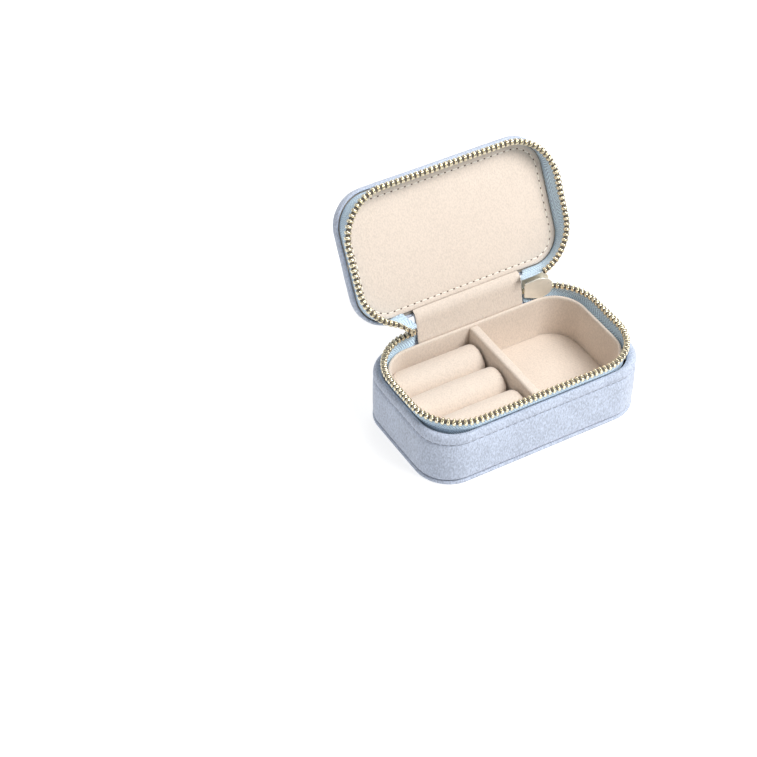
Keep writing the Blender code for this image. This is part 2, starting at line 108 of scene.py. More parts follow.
class Rim:
    """A rounded rectangle round the middle, measured clockwise from the middle of its back."""

    def __init__(self, length, width, radius):
        self.length, self.width, self.radius = length, width, radius
        self.half_x = length / 2 - radius
        self.half_y = width / 2 - radius
        self.arc = radius * math.pi / 2
        self.perimeter = 4 * (self.half_x + self.half_y + self.arc)

    def inset(self, depth, least=3 * MM):
        """This rim moved inwards. At half its width it folds flat onto its middle line."""
        width = max(self.width - 2 * depth, 0)
        corner = min(max(self.radius - depth, least), width / 2)
        return Rim(self.length - self.width + width, width, corner)

    def at(self, distance, measure=None):
        """The point, the direction of travel and the outward direction at a distance.

        The distance may be measured round another rim.
        """
        measure = measure or self
        corners = ((1, 1), (1, -1), (-1, -1), (-1, 1), (0, 1))
        across, down = measure.half_x, 2 * measure.half_y
        straights = (across, down, 2 * across, down, across)
        start = Vector((0, self.half_y, 0))
        for quarter, (corner, straight) in enumerate(zip(corners, straights)):
            turned = quarter * math.pi / 2
            end = Vector((corner[0] * self.half_x, corner[1] * self.half_y, 0))
            if distance <= straight or quarter == 4:
                return self.facing(start.lerp(end, min(distance / straight, 1)), turned)
            distance -= straight
            if distance <= measure.arc:
                return self.facing(end, turned + distance / measure.radius)
            distance -= measure.arc
            start = end
        return None

    def facing(self, middle, angle):
        along = Vector((math.cos(angle), -math.sin(angle), 0))
        outward = Vector((math.sin(angle), math.cos(angle), 0))
        return middle + outward * self.radius, along, outward


def rim_from(low, high, radius):
    return Rim(high.x - low.x, high.y - low.y, radius)


TOOTH_BAR = 1.6 * MM
ZIP = Rim(
    CHAIN_HIGH.x - CHAIN_LOW.x - TOOTH_BAR,
    CHAIN_HIGH.y - CHAIN_LOW.y - TOOTH_BAR,
    CHAIN_HIGH.x - TOOTH_BAR / 2 - PARK_CENTRE.x,
)
CASE = rim_from(WALL_LOW, WALL_HIGH, 15 * MM)
TRAY = rim_from(TRAY_LOW, TRAY_HIGH, 14.5 * MM)
COVER = rim_from(COVER_LOW, COVER_HIGH, 15 * MM)
LINING = rim_from(LINING_LOW, LINING_HIGH, 12.5 * MM)
# The spacing of the columns of faces round a rim.
COLUMN = 1.6 * MM


# What a user can change


def length(name, description, millimetres):
    """A property for a size."""
    default = millimetres * MM
    return FloatProperty(name=name, description=description, unit="LENGTH", default=default)


def angle(name, description, degrees):
    """A property for an angle."""
    default = math.radians(degrees)
    return FloatProperty(name=name, description=description, subtype="ANGLE", default=default)


def tint(name, description, default):
    """A property for a colour."""
    return FloatVectorProperty(
        name=name, description=description, subtype="COLOR", default=default
    )


class CaseColours(bpy.types.PropertyGroup):
    velvet: tint("Velvet", "Colour of the pile", (0.505, 0.56, 0.675))
    suede: tint("Suede", "Colour of the tray and the lid's lining", (0.71, 0.615, 0.53))
    tape: tint("Zip tape", "Colour of the woven tape", (0.58, 0.73, 0.90))
    thread: tint("Lining thread", "Colour of the thread in the lid", (0.93, 0.86, 0.76))
    metal: tint("Metal", "Colour of the plated zip", (0.84, 0.76, 0.56))


class CaseSewing(bpy.types.PropertyGroup):
    stitch: length("Stitch", "Length of one visible stitch", 2.3)
    pitch: length("Stitch pitch", "From one stitch to the next", 3.1)
    thread: length("Thread", "Thickness of the thread", 0.55)
    wall_drop: length("Wall seam", "From the wall's top edge down to its stitches", 4.5)
    lid_margin: length("Lid seam", "From the lid's edge in to its stitches", 4.6)
    lining_margin: length("Lining seam", "From the lining's edge in to its stitches", 2.4)
    groove: length("Seam depth", "How deep a seam pulls the cloth in", 0.55)


class CaseZip(bpy.types.PropertyGroup):
    pitch: length("Tooth pitch", "From one tooth to the next in a row", 2.2)
    tooth: length("Tooth", "Length of a tooth along the row", 1.25)
    tape: length("Tape", "Thickness of the tape", 0.5)
    rib: length("Weave", "Width of one slanting rib in the tape", 1.2)


class CaseView(bpy.types.PropertyGroup):
    azimuth: angle("Azimuth", "Turn of the camera from the front", -31)
    elevation: angle("Elevation", "Height of the camera's view", 42.3)
    roll: angle("Roll", "Tilt of the camera about its view", 0.76)
    distance: length("Distance", "From the case's foot to the camera", 884)
    lens: FloatProperty(name="Lens", description="Focal length in millimetres", default=103.8)
    aside: length("Aside", "How far left of the case the camera aims", 50.2)
    above: length("Above", "How far above the case's foot the camera aims", 11.3)
    sky: FloatProperty(name="Sky", description="Strength of the light all round", default=0.32)
    lamp: FloatProperty(name="Lamp", description="Power of the main lamp in watts", default=14)
    steps: IntProperty(
        name="Cloth steps", description="Steps that the padding is filled for", default=20
    )


def sewing():
    return bpy.context.scene.jewelry_case_sewing


def zip_sizes():
    return bpy.context.scene.jewelry_case_zip


def colours():
    return bpy.context.scene.jewelry_case_colours


# Modelling by hand


def pick(*pieces):
    """Selects only these pieces, the first of them active."""
    bpy.ops.object.select_all(action="DESELECT")
    for piece in pieces:
        piece.select_set(True)
    bpy.context.view_layer.objects.active = pieces[0]


def added(name):
    """Names the object that an operator has just added."""
    piece = bpy.context.object
    piece.name = piece.data.name = name
    return piece


def settle(piece):
    """Puts the piece's place, turn and size into its mesh."""
    pick(piece)
    bpy.ops.object.transform_apply(location=True, rotation=True, scale=True)


def edit(piece, *steps):
    """Runs steps in edit mode with all of the piece selected."""
    pick(piece)
    bpy.ops.object.mode_set(mode="EDIT")
    bpy.ops.mesh.select_all(action="SELECT")
    for step in steps:
        step()
    bpy.ops.object.mode_set(mode="OBJECT")


def choose(kind, test):
    """In edit mode, selects only the edges or faces that pass a test."""
    shape = bmesh.from_edit_mesh(bpy.context.object.data)
    bpy.ops.mesh.select_mode(type=kind)
    bpy.ops.mesh.select_all(action="DESELECT")
    for item in {"VERT": shape.verts, "EDGE": shape.edges, "FACE": shape.faces}[kind]:
        if test(item):
            item.select_set(True)
    shape.select_flush_mode()
    bmesh.update_edit_mesh(bpy.context.object.data)


def modify(piece, kind, **settings):
    """Adds a modifier and applies it."""
    pick(piece)
    modifier = piece.modifiers.new(kind.lower(), kind)
    for setting, value in settings.items():
        setattr(modifier, setting, value)
    bpy.ops.object.modifier_apply(modifier=modifier.name)


def smooth(piece, angle=40):
    pick(piece)
    bpy.ops.object.shade_smooth_by_angle(angle=math.radians(angle))


def lay(name, rows, round_trip=True, hollow=False):
    """A grid bent through rows of points, whose UV map holds metres along and across the rows.

    With round_trip each row closes on itself, with hollow the last row joins the first.
    """
    rows = [[*row, row[0]] if round_trip else list(row) for row in rows]
    if hollow:
        rows.append(rows[0])
    across, along = len(rows) - 1, len(rows[0]) - 1
    bpy.ops.object.select_all(action="DESELECT")
    bpy.ops.mesh.primitive_grid_add(x_subdivisions=along, y_subdivisions=across, size=2)
    piece = added(name)
    mesh = piece.data
    lengths = run_lengths(rows[0])
    depths = run_lengths([row[0] for row in rows])
    spots = []
    for vert in mesh.vertices:
        column = round((vert.co.x + 1) / 2 * along)
        row = round((vert.co.y + 1) / 2 * across)
        spots.append((lengths[column], depths[row]))
        vert.co = rows[row][column]
    flat = mesh.uv_layers.active.data
    for loop in mesh.loops:
        flat[loop.index].uv = spots[loop.vertex_index]

    def join_up():
        bpy.ops.mesh.remove_doubles(threshold=0.001 * MM)
        bpy.ops.mesh.normals_make_consistent(inside=False)

    edit(piece, join_up)
    return piece


def run_lengths(points):
    lengths = [0.0]
    for here, after in zip(points, points[1:]):
        lengths.append(lengths[-1] + (after - here).length)
    return lengths


def stations(start=0.0, end=None, spacing=COLUMN, measure=ZIP):
    """Distances along a rim, evenly about one spacing apart. A full round leaves out its end."""
    full = end is None
    end = measure.perimeter if full else end
    count = 2 * round((end - start) / spacing / 2)
    return [start + (end - start) * step / count for step in range(count if full else count + 1)]


def rim_rows(rims, heights, places):
    """Rows of points, one for each rim and its height."""
    return [
        [rim.at(place, ZIP)[0] + Vector((0, 0, height)) for place in places]
        for rim, height in zip(rims, heights)
    ]


def profile_rows(rim, profile, places=None):
    """Rows round a rim for a profile of insets and heights."""
    places = places or stations()
    rims = [rim.inset(inset) for inset, _ in profile]
    return rim_rows(rims, [height for _, height in profile], places)


def steps_from(height, *pairs, start=0.0):
    """Insets and heights in metres, for pairs in millimetres in from a start and above a height."""
    return [(start + inset * MM, height + rise * MM) for inset, rise in pairs]


def soften(piece, strength, grain):
    """Pushes the cloth in and out a little, as by hand."""
    texture = bpy.data.textures.new(piece.name + "_waves", "CLOUDS")
    texture.noise_scale = grain
    modify(
        piece, "DISPLACE", texture=texture, texture_coords="LOCAL", strength=strength, mid_level=0.5
    )


def refine(piece, levels=1):
    modify(piece, "SUBSURF", levels=levels, render_levels=levels)


def copies(name, model, places):
    """One piece of copies of a model, each with its own mesh, and the model removed."""
    made = []
    for place in places:
        copy = bpy.data.objects.new(name, model.data.copy())
        copy.data.transform(place)
        bpy.context.scene.collection.objects.link(copy)
        made.append(copy)
    bpy.data.objects.remove(model)
    pick(*made)
    bpy.ops.object.join()
    return added(name)


def swing_open(piece):
    piece.data.transform(OPEN)


def dress(piece, material, slot, body, *nodes):
    """Gives a piece its material and its body, and hides the CAD nodes that it stands for. The slot
    is not used.
    """
    piece.data.materials.clear()
    piece.data.materials.append(material)
    if body:
        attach(piece, body)
    if nodes:
        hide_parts(*nodes)
    return piece


# Materials


def start_material(name, colour, roughness, **settings):
    """A new material with its shader's even values set on the shader's own sockets."""
    made = bpy.data.materials.new(name)
    made.use_nodes = True
    shader = made.node_tree.nodes["Principled BSDF"]
    shader.inputs["Base Color"].default_value = (*colour, 1)
    shader.inputs["Roughness"].default_value = roughness
    for socket, value in settings.items():
        shader.inputs[socket.replace("_", " ").title().replace("Ior", "IOR")].default_value = value
    return made, made.node_tree, shader


def add_node(tree, kind, **values):
    node = tree.nodes.new("ShaderNode" + kind)
    for name, value in values.items():
        if name in node.inputs:
            node.inputs[name].default_value = value
        else:
            setattr(node, name, value)
    return node


def noise(tree, vector, scale, detail=2, roughness=0.55):
    node = add_node(tree, "TexNoise", Scale=scale, Detail=detail, Roughness=roughness)
    tree.links.new(vector, node.inputs["Vector"])
    return node.outputs["Fac"]


def math_step(tree, operation, first, second=None, third=None):
    node = add_node(tree, "Math", operation=operation)
    for place, value in enumerate((first, second, third)):
        if isinstance(value, (int, float)):
            node.inputs[place].default_value = value
        elif value is not None:
            tree.links.new(value, node.inputs[place])
    return node.outputs[0]


def tinted(colour, share):
    return tuple(min(1, part * share) for part in colour)


def paint(tree, shader, factor, base, *shares):
    """Colours the shader with a ramp of shares of a base colour, each at its place."""
    node = add_node(tree, "ValToRGB")
    tree.links.new(factor, node.inputs["Fac"])
    ramp = node.color_ramp
    ramp.elements[0].position, ramp.elements[-1].position = shares[0][0], shares[-1][0]
    for place, _ in shares[1:-1]:
        ramp.elements.new(place)
    for element, (_, share) in zip(ramp.elements, shares):
        element.color = (*tinted(base, share), 1)
    tree.links.new(node.outputs["Color"], shader.inputs["Base Color"])


def bump(tree, shader, height, strength, depth):
    node = add_node(tree, "Bump", Strength=strength, Distance=depth)
    tree.links.new(height, node.inputs["Height"])
    tree.links.new(node.outputs["Normal"], shader.inputs["Normal"])


def place_coords(tree, stretch=(1, 1, 1), turn=(0, 0, 0)):
    """The piece's own coordinates, stretched and turned."""
    coords = add_node(tree, "TexCoord")
    mapping = add_node(tree, "Mapping")
    mapping.inputs["Scale"].default_value = stretch
    mapping.inputs["Rotation"].default_value = turn
    tree.links.new(coords.outputs["Object"], mapping.inputs["Vector"])
    return mapping.outputs["Vector"]


def velvet():
    """Short pile that lies in streaks. The streaks and the mottling are painted sheen: the colour
    is lightened and darkened at random, as where the pile catches the light.
    """
    base = colours().velvet
    made, tree, shader = start_material(
        "velvet", base, 0.9, sheen_weight=0.55, sheen_roughness=0.35, specular_ior_level=0.15
    )
    pile = noise(tree, place_coords(tree, (1, 1, 0.5), (0.5, 0.4, 0)), 1700, 2, 0.5)
    hand = noise(tree, place_coords(tree), 70, 3, 0.5)
    mixed = math_step(tree, "MULTIPLY_ADD", hand, 0.22, math_step(tree, "MULTIPLY", pile, 0.78))
    # Painted sheen: the pile's streaks and the broad mottling lighten and darken the velvet's
    # colour.
    paint(tree, shader, mixed, base, (0.36, 0.79), (0.5, 1), (0.64, 1.2))
    bump(tree, shader, pile, 0.8, 0.4 * MM)
    return made


def suede():
    """Brushed microfibre with a faint nap."""
    base = colours().suede
    made, tree, shader = start_material(
        "suede", base, 0.88, sheen_weight=0.25, sheen_roughness=0.5, specular_ior_level=0.2
    )
    nap = noise(tree, place_coords(tree, (1, 1, 0.6), (0.2, 0.4, 0.5)), 1700, 2, 0.5)
    cloudy = noise(tree, place_coords(tree), 60, 2)
    mixed = math_step(tree, "MULTIPLY_ADD", cloudy, 0.15, math_step(tree, "MULTIPLY", nap, 0.85))
    paint(tree, shader, mixed, base, (0.36, 0.92), (0.5, 1), (0.64, 1.06))
    bump(tree, shader, nap, 0.45, 0.2 * MM)
    return made


def woven_tape():
    """Herringbone weave: slanting ribs that turn back at each band across the tape."""
    base = colours().tape
    made, tree, shader = start_material(
        "zip_tape", base, 0.75, sheen_weight=0.2, sheen_roughness=0.4, specular_ior_level=0.3
    )
    flat = add_node(tree, "UVMap")
    split = add_node(tree, "SeparateXYZ")
    tree.links.new(flat.outputs["UV"], split.inputs[0])
    rib = zip_sizes().rib
    zigzag = math_step(tree, "PINGPONG", split.outputs["Y"], 1.9 * rib)
    slant = math_step(tree, "ADD", split.outputs["X"], zigzag)
    wave = math_step(tree, "SINE", math_step(tree, "MULTIPLY", slant, 2 * math.pi / rib))
    grain = noise(tree, place_coords(tree), 2500, 2)
    mixed = math_step(tree, "MULTIPLY_ADD", wave, 0.22, grain)
    paint(tree, shader, mixed, base, (0.3, 0.64), (0.5, 1), (0.7, 1.25))
    bump(tree, shader, mixed, 0.5, 0.15 * MM)
    return made


def plated_metal():
    """Pale gold plating with faint wear."""
    base = colours().metal
    made, tree, shader = start_material("plated_metal", base, 0.24, metallic=1.0)
    wear = noise(tree, place_coords(tree), 900, 3)
    paint(tree, shader, wear, base, (0.3, 0.92), (0.7, 1.06))
    roughness = math_step(tree, "MULTIPLY_ADD", wear, 0.16, 0.16)
    tree.links.new(roughness, shader.inputs["Roughness"])
    return made


def spun_thread(name, base):
    """Twisted thread."""
    made, tree, shader = start_material(name, base, 0.6, sheen_weight=0.2, specular_ior_level=0.3)
    twist = noise(tree, place_coords(tree), 2600, 2)
    paint(tree, shader, twist, base, (0.3, 0.85), (0.7, 1.1))
    bump(tree, shader, twist, 0.4, 0.08 * MM)
    return made


def speckled(name, base, grain, contrast):
    """Board, foam and other plain inner layers, and the painted shade of the needle holes."""
    made, tree, shader = start_material(name, base, 0.92, specular_ior_level=0.2)
    specks = noise(tree, place_coords(tree), grain, 4, 0.7)
    paint(tree, shader, specks, base, (0.3, 1 - contrast), (0.7, 1 + contrast))
    bump(tree, shader, specks, 0.3, 0.1 * MM)
    return made


def polished_metal():
    """The slider's and the pull's smoother, paler plating."""
    base = tuple(0.5 + 0.5 * part for part in colours().metal)
    made, tree, shader = start_material("polished_metal", base, 0.3, metallic=0.5)
    wear = noise(tree, place_coords(tree), 500, 3)
    paint(tree, shader, wear, base, (0.3, 0.96), (0.7, 1.05))
    tree.links.new(math_step(tree, "MULTIPLY_ADD", wear, 0.12, 0.24), shader.inputs["Roughness"])
    return made


FINISHES = {}


def finish_of(name):
    """The material of one finish, made once."""
    makers = {
        "velvet": velvet,
        "suede": suede,
        "tape": woven_tape,
        "metal": plated_metal,
        "polished": polished_metal,
        "lining_thread": lambda: spun_thread("lining_thread", colours().thread),
        # The velvet's thread is the velvet's colour darkened, as painted shade of the puckers along
        # its seams.
        "velvet_thread_painted_shade": lambda: spun_thread("velvet_thread_painted_shade", tinted(colours().velvet, 0.66)),
        # Nearly black: painted shade inside the needle holes.
        "needle_hole_shade": lambda: speckled("needle_hole_shade", (0.09, 0.055, 0.04), 2000, 0.2),
        # The cord is really tape-coloured; it is nearly black here as painted shade between the
        # teeth.
        "bead_shade": lambda: spun_thread("zip_bead_painted_shade", (0.095, 0.08, 0.062)),
        "board": lambda: speckled("board", (0.32, 0.29, 0.25), 1500, 0.2),
        "foam": lambda: speckled("foam", (0.75, 0.74, 0.70), 1800, 0.1),
    }
    if name not in FINISHES:
        FINISHES[name] = makers[name]()
    return FINISHES[name]


# Base


class JEWELCASE_OT_velvet_wall(bpy.types.Operator):
    """Builds the velvet wall with its rolled top edge and its sewn groove"""

    bl_idname = "jewelcase.velvet_wall"
    bl_label = "Velvet Wall"

    def execute(self, context):
        foot, top = WALL_LOW.z, WALL_HIGH.z
        seam = top - sewing().wall_drop
        groove = sewing().groove
        profile = [
            *steps_from(foot, (1.05, 0.1), (0.5, 0.08), (0.12, 0.4), (0, 1.4)),
            *steps_from(foot, (-0.1, 4), (-0.2, 8), (-0.2, 12)),
            *steps_from(seam, (-0.12, -2.2), (-0.02, -0.9)),
            (groove * 0.6, seam - 0.35 * MM),
            (groove, seam),
            (groove * 0.6, seam + 0.35 * MM),
            *steps_from(seam, (-0.05, 0.9), (-0.15, 1.8)),
            *steps_from(top, (-0.08, -1.8), (0.15, -1), (0.6, -0.35), (1.2, -0.02)),
        ]
        rolled = [
            *steps_from(top, (1.8, -0.12), (2.3, -0.5), (2.7, -1.1), (2.9, -2), (2.9, -3.6)),
            *steps_from(top, (1.1, -4), (1.05, -8)),
        ]
        corners = (13.6, 14, 14.4, 14.5, 14.5, 14, 14)
        rims = [CASE.inset(inset) for inset, _ in profile]
        for (inset, _), corner in zip(rolled, corners):
            rims.append(Rim(CASE.length - 2 * inset, CASE.width - 2 * inset, corner * MM))
        heights = [height for _, height in profile + rolled]
        wall = lay("velvet_wall", rim_rows(rims, heights, stations()), hollow=True)
        refine(wall)
        soften(wall, 0.22 * MM, 9 * MM)
        soften(wall, 0.07 * MM, 1.6 * MM)
        smooth(wall, 60)
        dress(wall, finish_of("velvet"), "velvet", "base", "base_velvet_wall")
        return {"FINISHED"}


class JEWELCASE_OT_bottom_panel(bpy.types.Operator):
    """Builds the velvet panel under the base, whose wrapped edge shows below the wall"""

    bl_idname = "jewelcase.bottom_panel"
    bl_label = "Bottom Panel"

    def execute(self, context):
        low, high = PANEL_LOW.z, PANEL_HIGH.z
        middle = CASE.width / 2
        profile = [
            (middle, low),
            *steps_from(low, (3, 0), (1, 0), (0.3, 0.12), (-0.08, 0.55), (-0.12, 1), (0, 1.45)),
            *steps_from(high, (0.4, -0.1), (1, 0), (3, 0)),
            (middle, high),
        ]
        panel = lay("bottom_panel", profile_rows(CASE, profile))
        refine(panel)
        soften(panel, 0.05 * MM, 2 * MM)
        flatten(panel, low)
        smooth(panel, 60)
        dress(panel, finish_of("velvet"), "velvet", "base", "base_bottom_panel")
        return {"FINISHED"}


def flatten(piece, floor):
    """Keeps a piece from reaching below a height."""
    for vert in piece.data.vertices:
        vert.co.z = max(vert.co.z, floor)


class JEWELCASE_OT_tray(bpy.types.Operator):
    """Builds the suede tray with its rounded rim"""

    bl_idname = "jewelcase.tray"
    bl_label = "Tray"

    def execute(self, context):
        foot, rim = TRAY_LOW.z, TRAY_HIGH.z
        wall, middle = 1.5 * MM, TRAY.width / 2
        profile = [
            (middle, foot),
            *steps_from(foot, (0.6, 0), (0.05, 0.6), (0, 4)),
            *steps_from(rim, (0, -2), (0.04, -0.9), (0.25, -0.25), (0.65, 0), (1.1, -0.04)),
            *steps_from(rim, (1.45, -0.4), (1.6, -1.1), (1.62, -3), (1.6, -8), (1.55, -14)),
            *steps_from(foot, (1.6, 3.4)),
            *steps_from(foot + wall, (1.9, 0.25), (2.6, 0)),
            (middle, foot + wall),
        ]
        tray = lay("suede_tray", profile_rows(TRAY, profile))
        refine(tray)
        soften(tray, 0.12 * MM, 12 * MM)
        smooth(tray, 60)
        dress(tray, finish_of("suede"), "suede", "base", "tray_liner")
        return {"FINISHED"}


def block(name, low, high):
    """A box between two corners."""
    low, high = Vector(low), Vector(high)
    bpy.ops.object.select_all(action="DESELECT")
    bpy.ops.mesh.primitive_cube_add(size=1, location=(low + high) / 2, scale=high - low)
    piece = added(name)
    settle(piece)
    return piece


def upright(edge):
    return abs(edge.verts[0].co.z - edge.verts[1].co.z) > 0.9 * edge.calc_length()


def tray_space(name, gap, floor, top):
    """The room inside the tray as a closed shape, for cutting pieces to it."""
    room = TRAY.inset(1.5 * MM + gap)
    half_x, half_y = room.length / 2, room.width / 2
    space = block(name, (-half_x, -half_y, floor), (half_x, half_y, top))

    def round_corners():
        choose("EDGE", upright)
        bpy.ops.mesh.bevel(offset=room.radius, segments=12, affect="EDGES")

    edit(space, round_corners)
    return space


class JEWELCASE_OT_divider(bpy.types.Operator):
    """Builds the covered wall between the rings and the open side"""

    bl_idname = "jewelcase.divider"
    bl_label = "Divider"

    def execute(self, context):
        low, high = DIVIDER_LOW.copy(), DIVIDER_HIGH.copy()
        high.y += 0.2 * MM
        low.y -= 0.2 * MM
        divider = block("suede_divider", low, high)
        top = high.z

        def wrap():
            choose("EDGE", lambda edge: all(vert.co.z > top - 0.01 * MM for vert in edge.verts))
            bpy.ops.mesh.bevel(offset=1.1 * MM, segments=5, affect="EDGES")
            for share in range(1, 12):
                bpy.ops.mesh.select_all(action="SELECT")
                middle = low.y + (high.y - low.y) * share / 12
                bpy.ops.mesh.bisect(plane_co=(0, middle, 0), plane_no=(0, 1, 0))
            for height in (low.z + 5 * MM, low.z + 11 * MM):
                bpy.ops.mesh.select_all(action="SELECT")
                bpy.ops.mesh.bisect(plane_co=(0, 0, height), plane_no=(0, 0, 1))

        edit(divider, wrap)
        modify(divider, "BEVEL", width=0.25 * MM, segments=2, angle_limit=math.radians(50))
        refine(divider)
        soften(divider, 0.18 * MM, 8 * MM)
        smooth(divider, 50)
        dress(divider, finish_of("suede"), "suede", "base", "tray_divider")
        return {"FINISHED"}


# The cloth solver works better on a larger piece.
SIM_SCALE = 20


def puff(piece, pressure, cap):
    """Fills a closed piece as padded cloth, and keeps each point within the cap of where it was."""
    scene = bpy.context.scene
    rest = [vert.co.copy() for vert in piece.data.vertices]
    piece.data.transform(Matrix.Scale(SIM_SCALE, 4))
    pick(piece)
    cloth = piece.modifiers.new("fill", "CLOTH")
    cloth.settings.use_pressure = True
    cloth.settings.uniform_pressure_force = pressure
    cloth.settings.effector_weights.gravity = 0
    cloth.point_cache.frame_start = 1
    cloth.point_cache.frame_end = scene.jewelry_case_view.steps
    for step in range(1, scene.jewelry_case_view.steps + 1):
        scene.frame_set(step)
    bpy.ops.object.modifier_apply(modifier=cloth.name)
    piece.data.transform(Matrix.Scale(1 / SIM_SCALE, 4))
    for vert, start in zip(piece.data.vertices, rest):
        moved = vert.co - start
        if moved.length > cap:
            vert.co = start + moved * (cap / moved.length)
    scene.frame_set(1)


class JEWELCASE_OT_ring_rolls(bpy.types.Operator):
    """Builds the three padded rolls that hold rings between them"""

    bl_idname = "jewelcase.ring_rolls"
    bl_label = "Ring Rolls"

    def execute(self, context):
        for row in ("back", "middle", "front"):
            node = "ring_roll_" + row
            low, high = local_box(node)
            self.roll("padded_roll_" + row, node, low, high)
        return {"FINISHED"}

    def roll(self, name, node, low, high):
        radius = (high.y - low.y) / 2
        bpy.ops.object.select_all(action="DESELECT")
        bpy.ops.mesh.primitive_cylinder_add(
            vertices=48,
            radius=radius,
            depth=high.x - low.x,
            location=((low.x + high.x) / 2, (low.y + high.y) / 2, high.z - radius),
            rotation=(0, math.pi / 2, 0),
        )
        roll = added(name)
        settle(roll)

        def straighten_sides():
            """The lower half goes straight down to the bed."""
            shape = bmesh.from_edit_mesh(roll.data)
            middle = high.z - radius
            for vert in shape.verts:
                if vert.co.z < middle - 0.05 * MM:
                    side = 1 if vert.co.y > (low.y + high.y) / 2 else -1
                    steep = abs(vert.co.y - (low.y + high.y) / 2) > 0.3 * radius
                    vert.co.z = low.z + (0 if not steep else (middle - low.z) * 0.02)
                    if steep:
                        vert.co.y = (low.y + high.y) / 2 + side * radius
            bmesh.update_edit_mesh(roll.data)

        edit(roll, straighten_sides)
        space = tray_space("room_" + name, 0.35 * MM, low.z, high.z + 1 * MM)
        modify(roll, "BOOLEAN", operation="INTERSECT", object=space)
        bpy.data.objects.remove(space)
        modify(roll, "REMESH", mode="VOXEL", voxel_size=0.75 * MM)
        modify(roll, "SMOOTH", factor=0.5, iterations=4)
        puff(roll, 3, 0.3 * MM)
        refine(roll)
        soften(roll, 0.15 * MM, 10 * MM)
        flatten(roll, low.z)
        smooth(roll, 70)
        dress(roll, finish_of("suede"), "suede", "base", node)


class JEWELCASE_OT_floor_pad(bpy.types.Operator):
    """Builds the pad on the floor of the open side"""

    bl_idname = "jewelcase.floor_pad"
    bl_label = "Floor Pad"

    def execute(self, context):
        low, high = local_box("tray_floor_pad")
        pad = block("suede_floor_pad", low, high)
        corner = TRAY.radius - 2 * MM
        right = high.x

        def cut_out():
            choose("EDGE", lambda edge: upright(edge) and edge.verts[0].co.x > right - 0.01 * MM)
            bpy.ops.mesh.bevel(offset=corner, segments=14, affect="EDGES")
            choose("FACE", lambda face: face.normal.z > 0.9)
            bpy.ops.mesh.inset(thickness=0.5 * MM)
            bpy.ops.transform.translate(value=(0, 0, 0.12 * MM))
            bpy.ops.mesh.inset(thickness=2.5 * MM)
            bpy.ops.transform.translate(value=(0, 0, 0.15 * MM))
            bpy.ops.mesh.inset(thickness=9 * MM)

        edit(pad, cut_out)
        modify(pad, "REMESH", mode="VOXEL", voxel_size=0.55 * MM)
        modify(pad, "SMOOTH", factor=0.5, iterations=6)
        puff(pad, 1.5, 0.15 * MM)
        flatten(pad, low.z)
        smooth(pad, 70)
        dress(pad, finish_of("suede"), "suede", "base", "tray_floor_pad")
        return {"FINISHED"}


# Zip


def tape_rows(seam_rim, top, foot, drops, places):
    """Rows of a tape that starts upright under the teeth and leans in to its seam.

    Each drop is a share of the way down and a share of the way in.
    """
    rows = []
    for down, inwards in drops:
        row = []
        for place in places:
            outer = ZIP.at(place)[0]
            inner = seam_rim.at(place, ZIP)[0]
            row.append(outer.lerp(inner, inwards) + Vector((0, 0, top + (foot - top) * down)))
        rows.append(row)
    return rows


TAPE_DROPS = (
    *((0, 0), (0.12, 0), (0.26, 0.06), (0.42, 0.3)),
    *((0.56, 0.62), (0.7, 0.86), (0.85, 0.98), (1, 1)),
)


# From the tray's outside to the foot of the base's tape and of the hinge's lining.
BEHIND_TRAY = 0.45 * MM
# How far the lid's tape starts behind the edge of the hinge's lining.
BEHIND_LINING = 1.6 * MM


def make_tape(name, rows):
    tape = lay(name, rows, round_trip=False)
    modify(tape, "SOLIDIFY", thickness=zip_sizes().tape, offset=0, use_even_offset=True)
    refine(tape)
    smooth(tape, 60)
    return tape


def hinge_gap():
    """Where the tapes end, just inside the hinge's sides."""
    return HINGE_HALF - 0.6 * MM


class JEWELCASE_OT_base_tape(bpy.types.Operator):
    """Builds the woven tape that stands along the base"""

    bl_idname = "jewelcase.base_tape"
    bl_label = "Base Tape"

    def execute(self, context):
        start = hinge_gap()
        places = stations(start, ZIP.perimeter - start)
        round_tray = TRAY.inset(-BEHIND_TRAY)
        seam = Rim(round_tray.length, round_tray.width, TRAY.radius)
        top, foot = CHAIN_LOW.z + 0.25 * MM, WALL_HIGH.z - 3.7 * MM
        tape = make_tape("woven_base_tape", tape_rows(seam, top, foot, TAPE_DROPS, places))
        dress(tape, finish_of("tape"), "zipper_tape", "base", "base_zipper_tape")
        return {"FINISHED"}


LEFT_TURN = (21 * MM, 37 * MM)


def left_side():
    """The station in the middle of the left side, where the lid's zip is split in two."""
    return ZIP.perimeter - ZIP.half_x - ZIP.arc - ZIP.half_y


def peel(piece):
    """Opens the lid's zip left of the hinge, more with each step away from the hinge."""
    start, end = LEFT_TURN
    for vert in piece.data.vertices:
        share = min(max((-vert.co.x - start) / (end - start), 0), 1)
        share = share * share * (3 - 2 * share)
        vert.co = turn_about(HINGE, OPEN_ANGLE * share) @ vert.co


def dress_left(piece, material, slot, *nodes):
    """A piece left of the hinge follows the base beside the hinge and the lid further along."""
    peel(piece)
    dress(piece, material, slot, None, *nodes)
    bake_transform(piece)


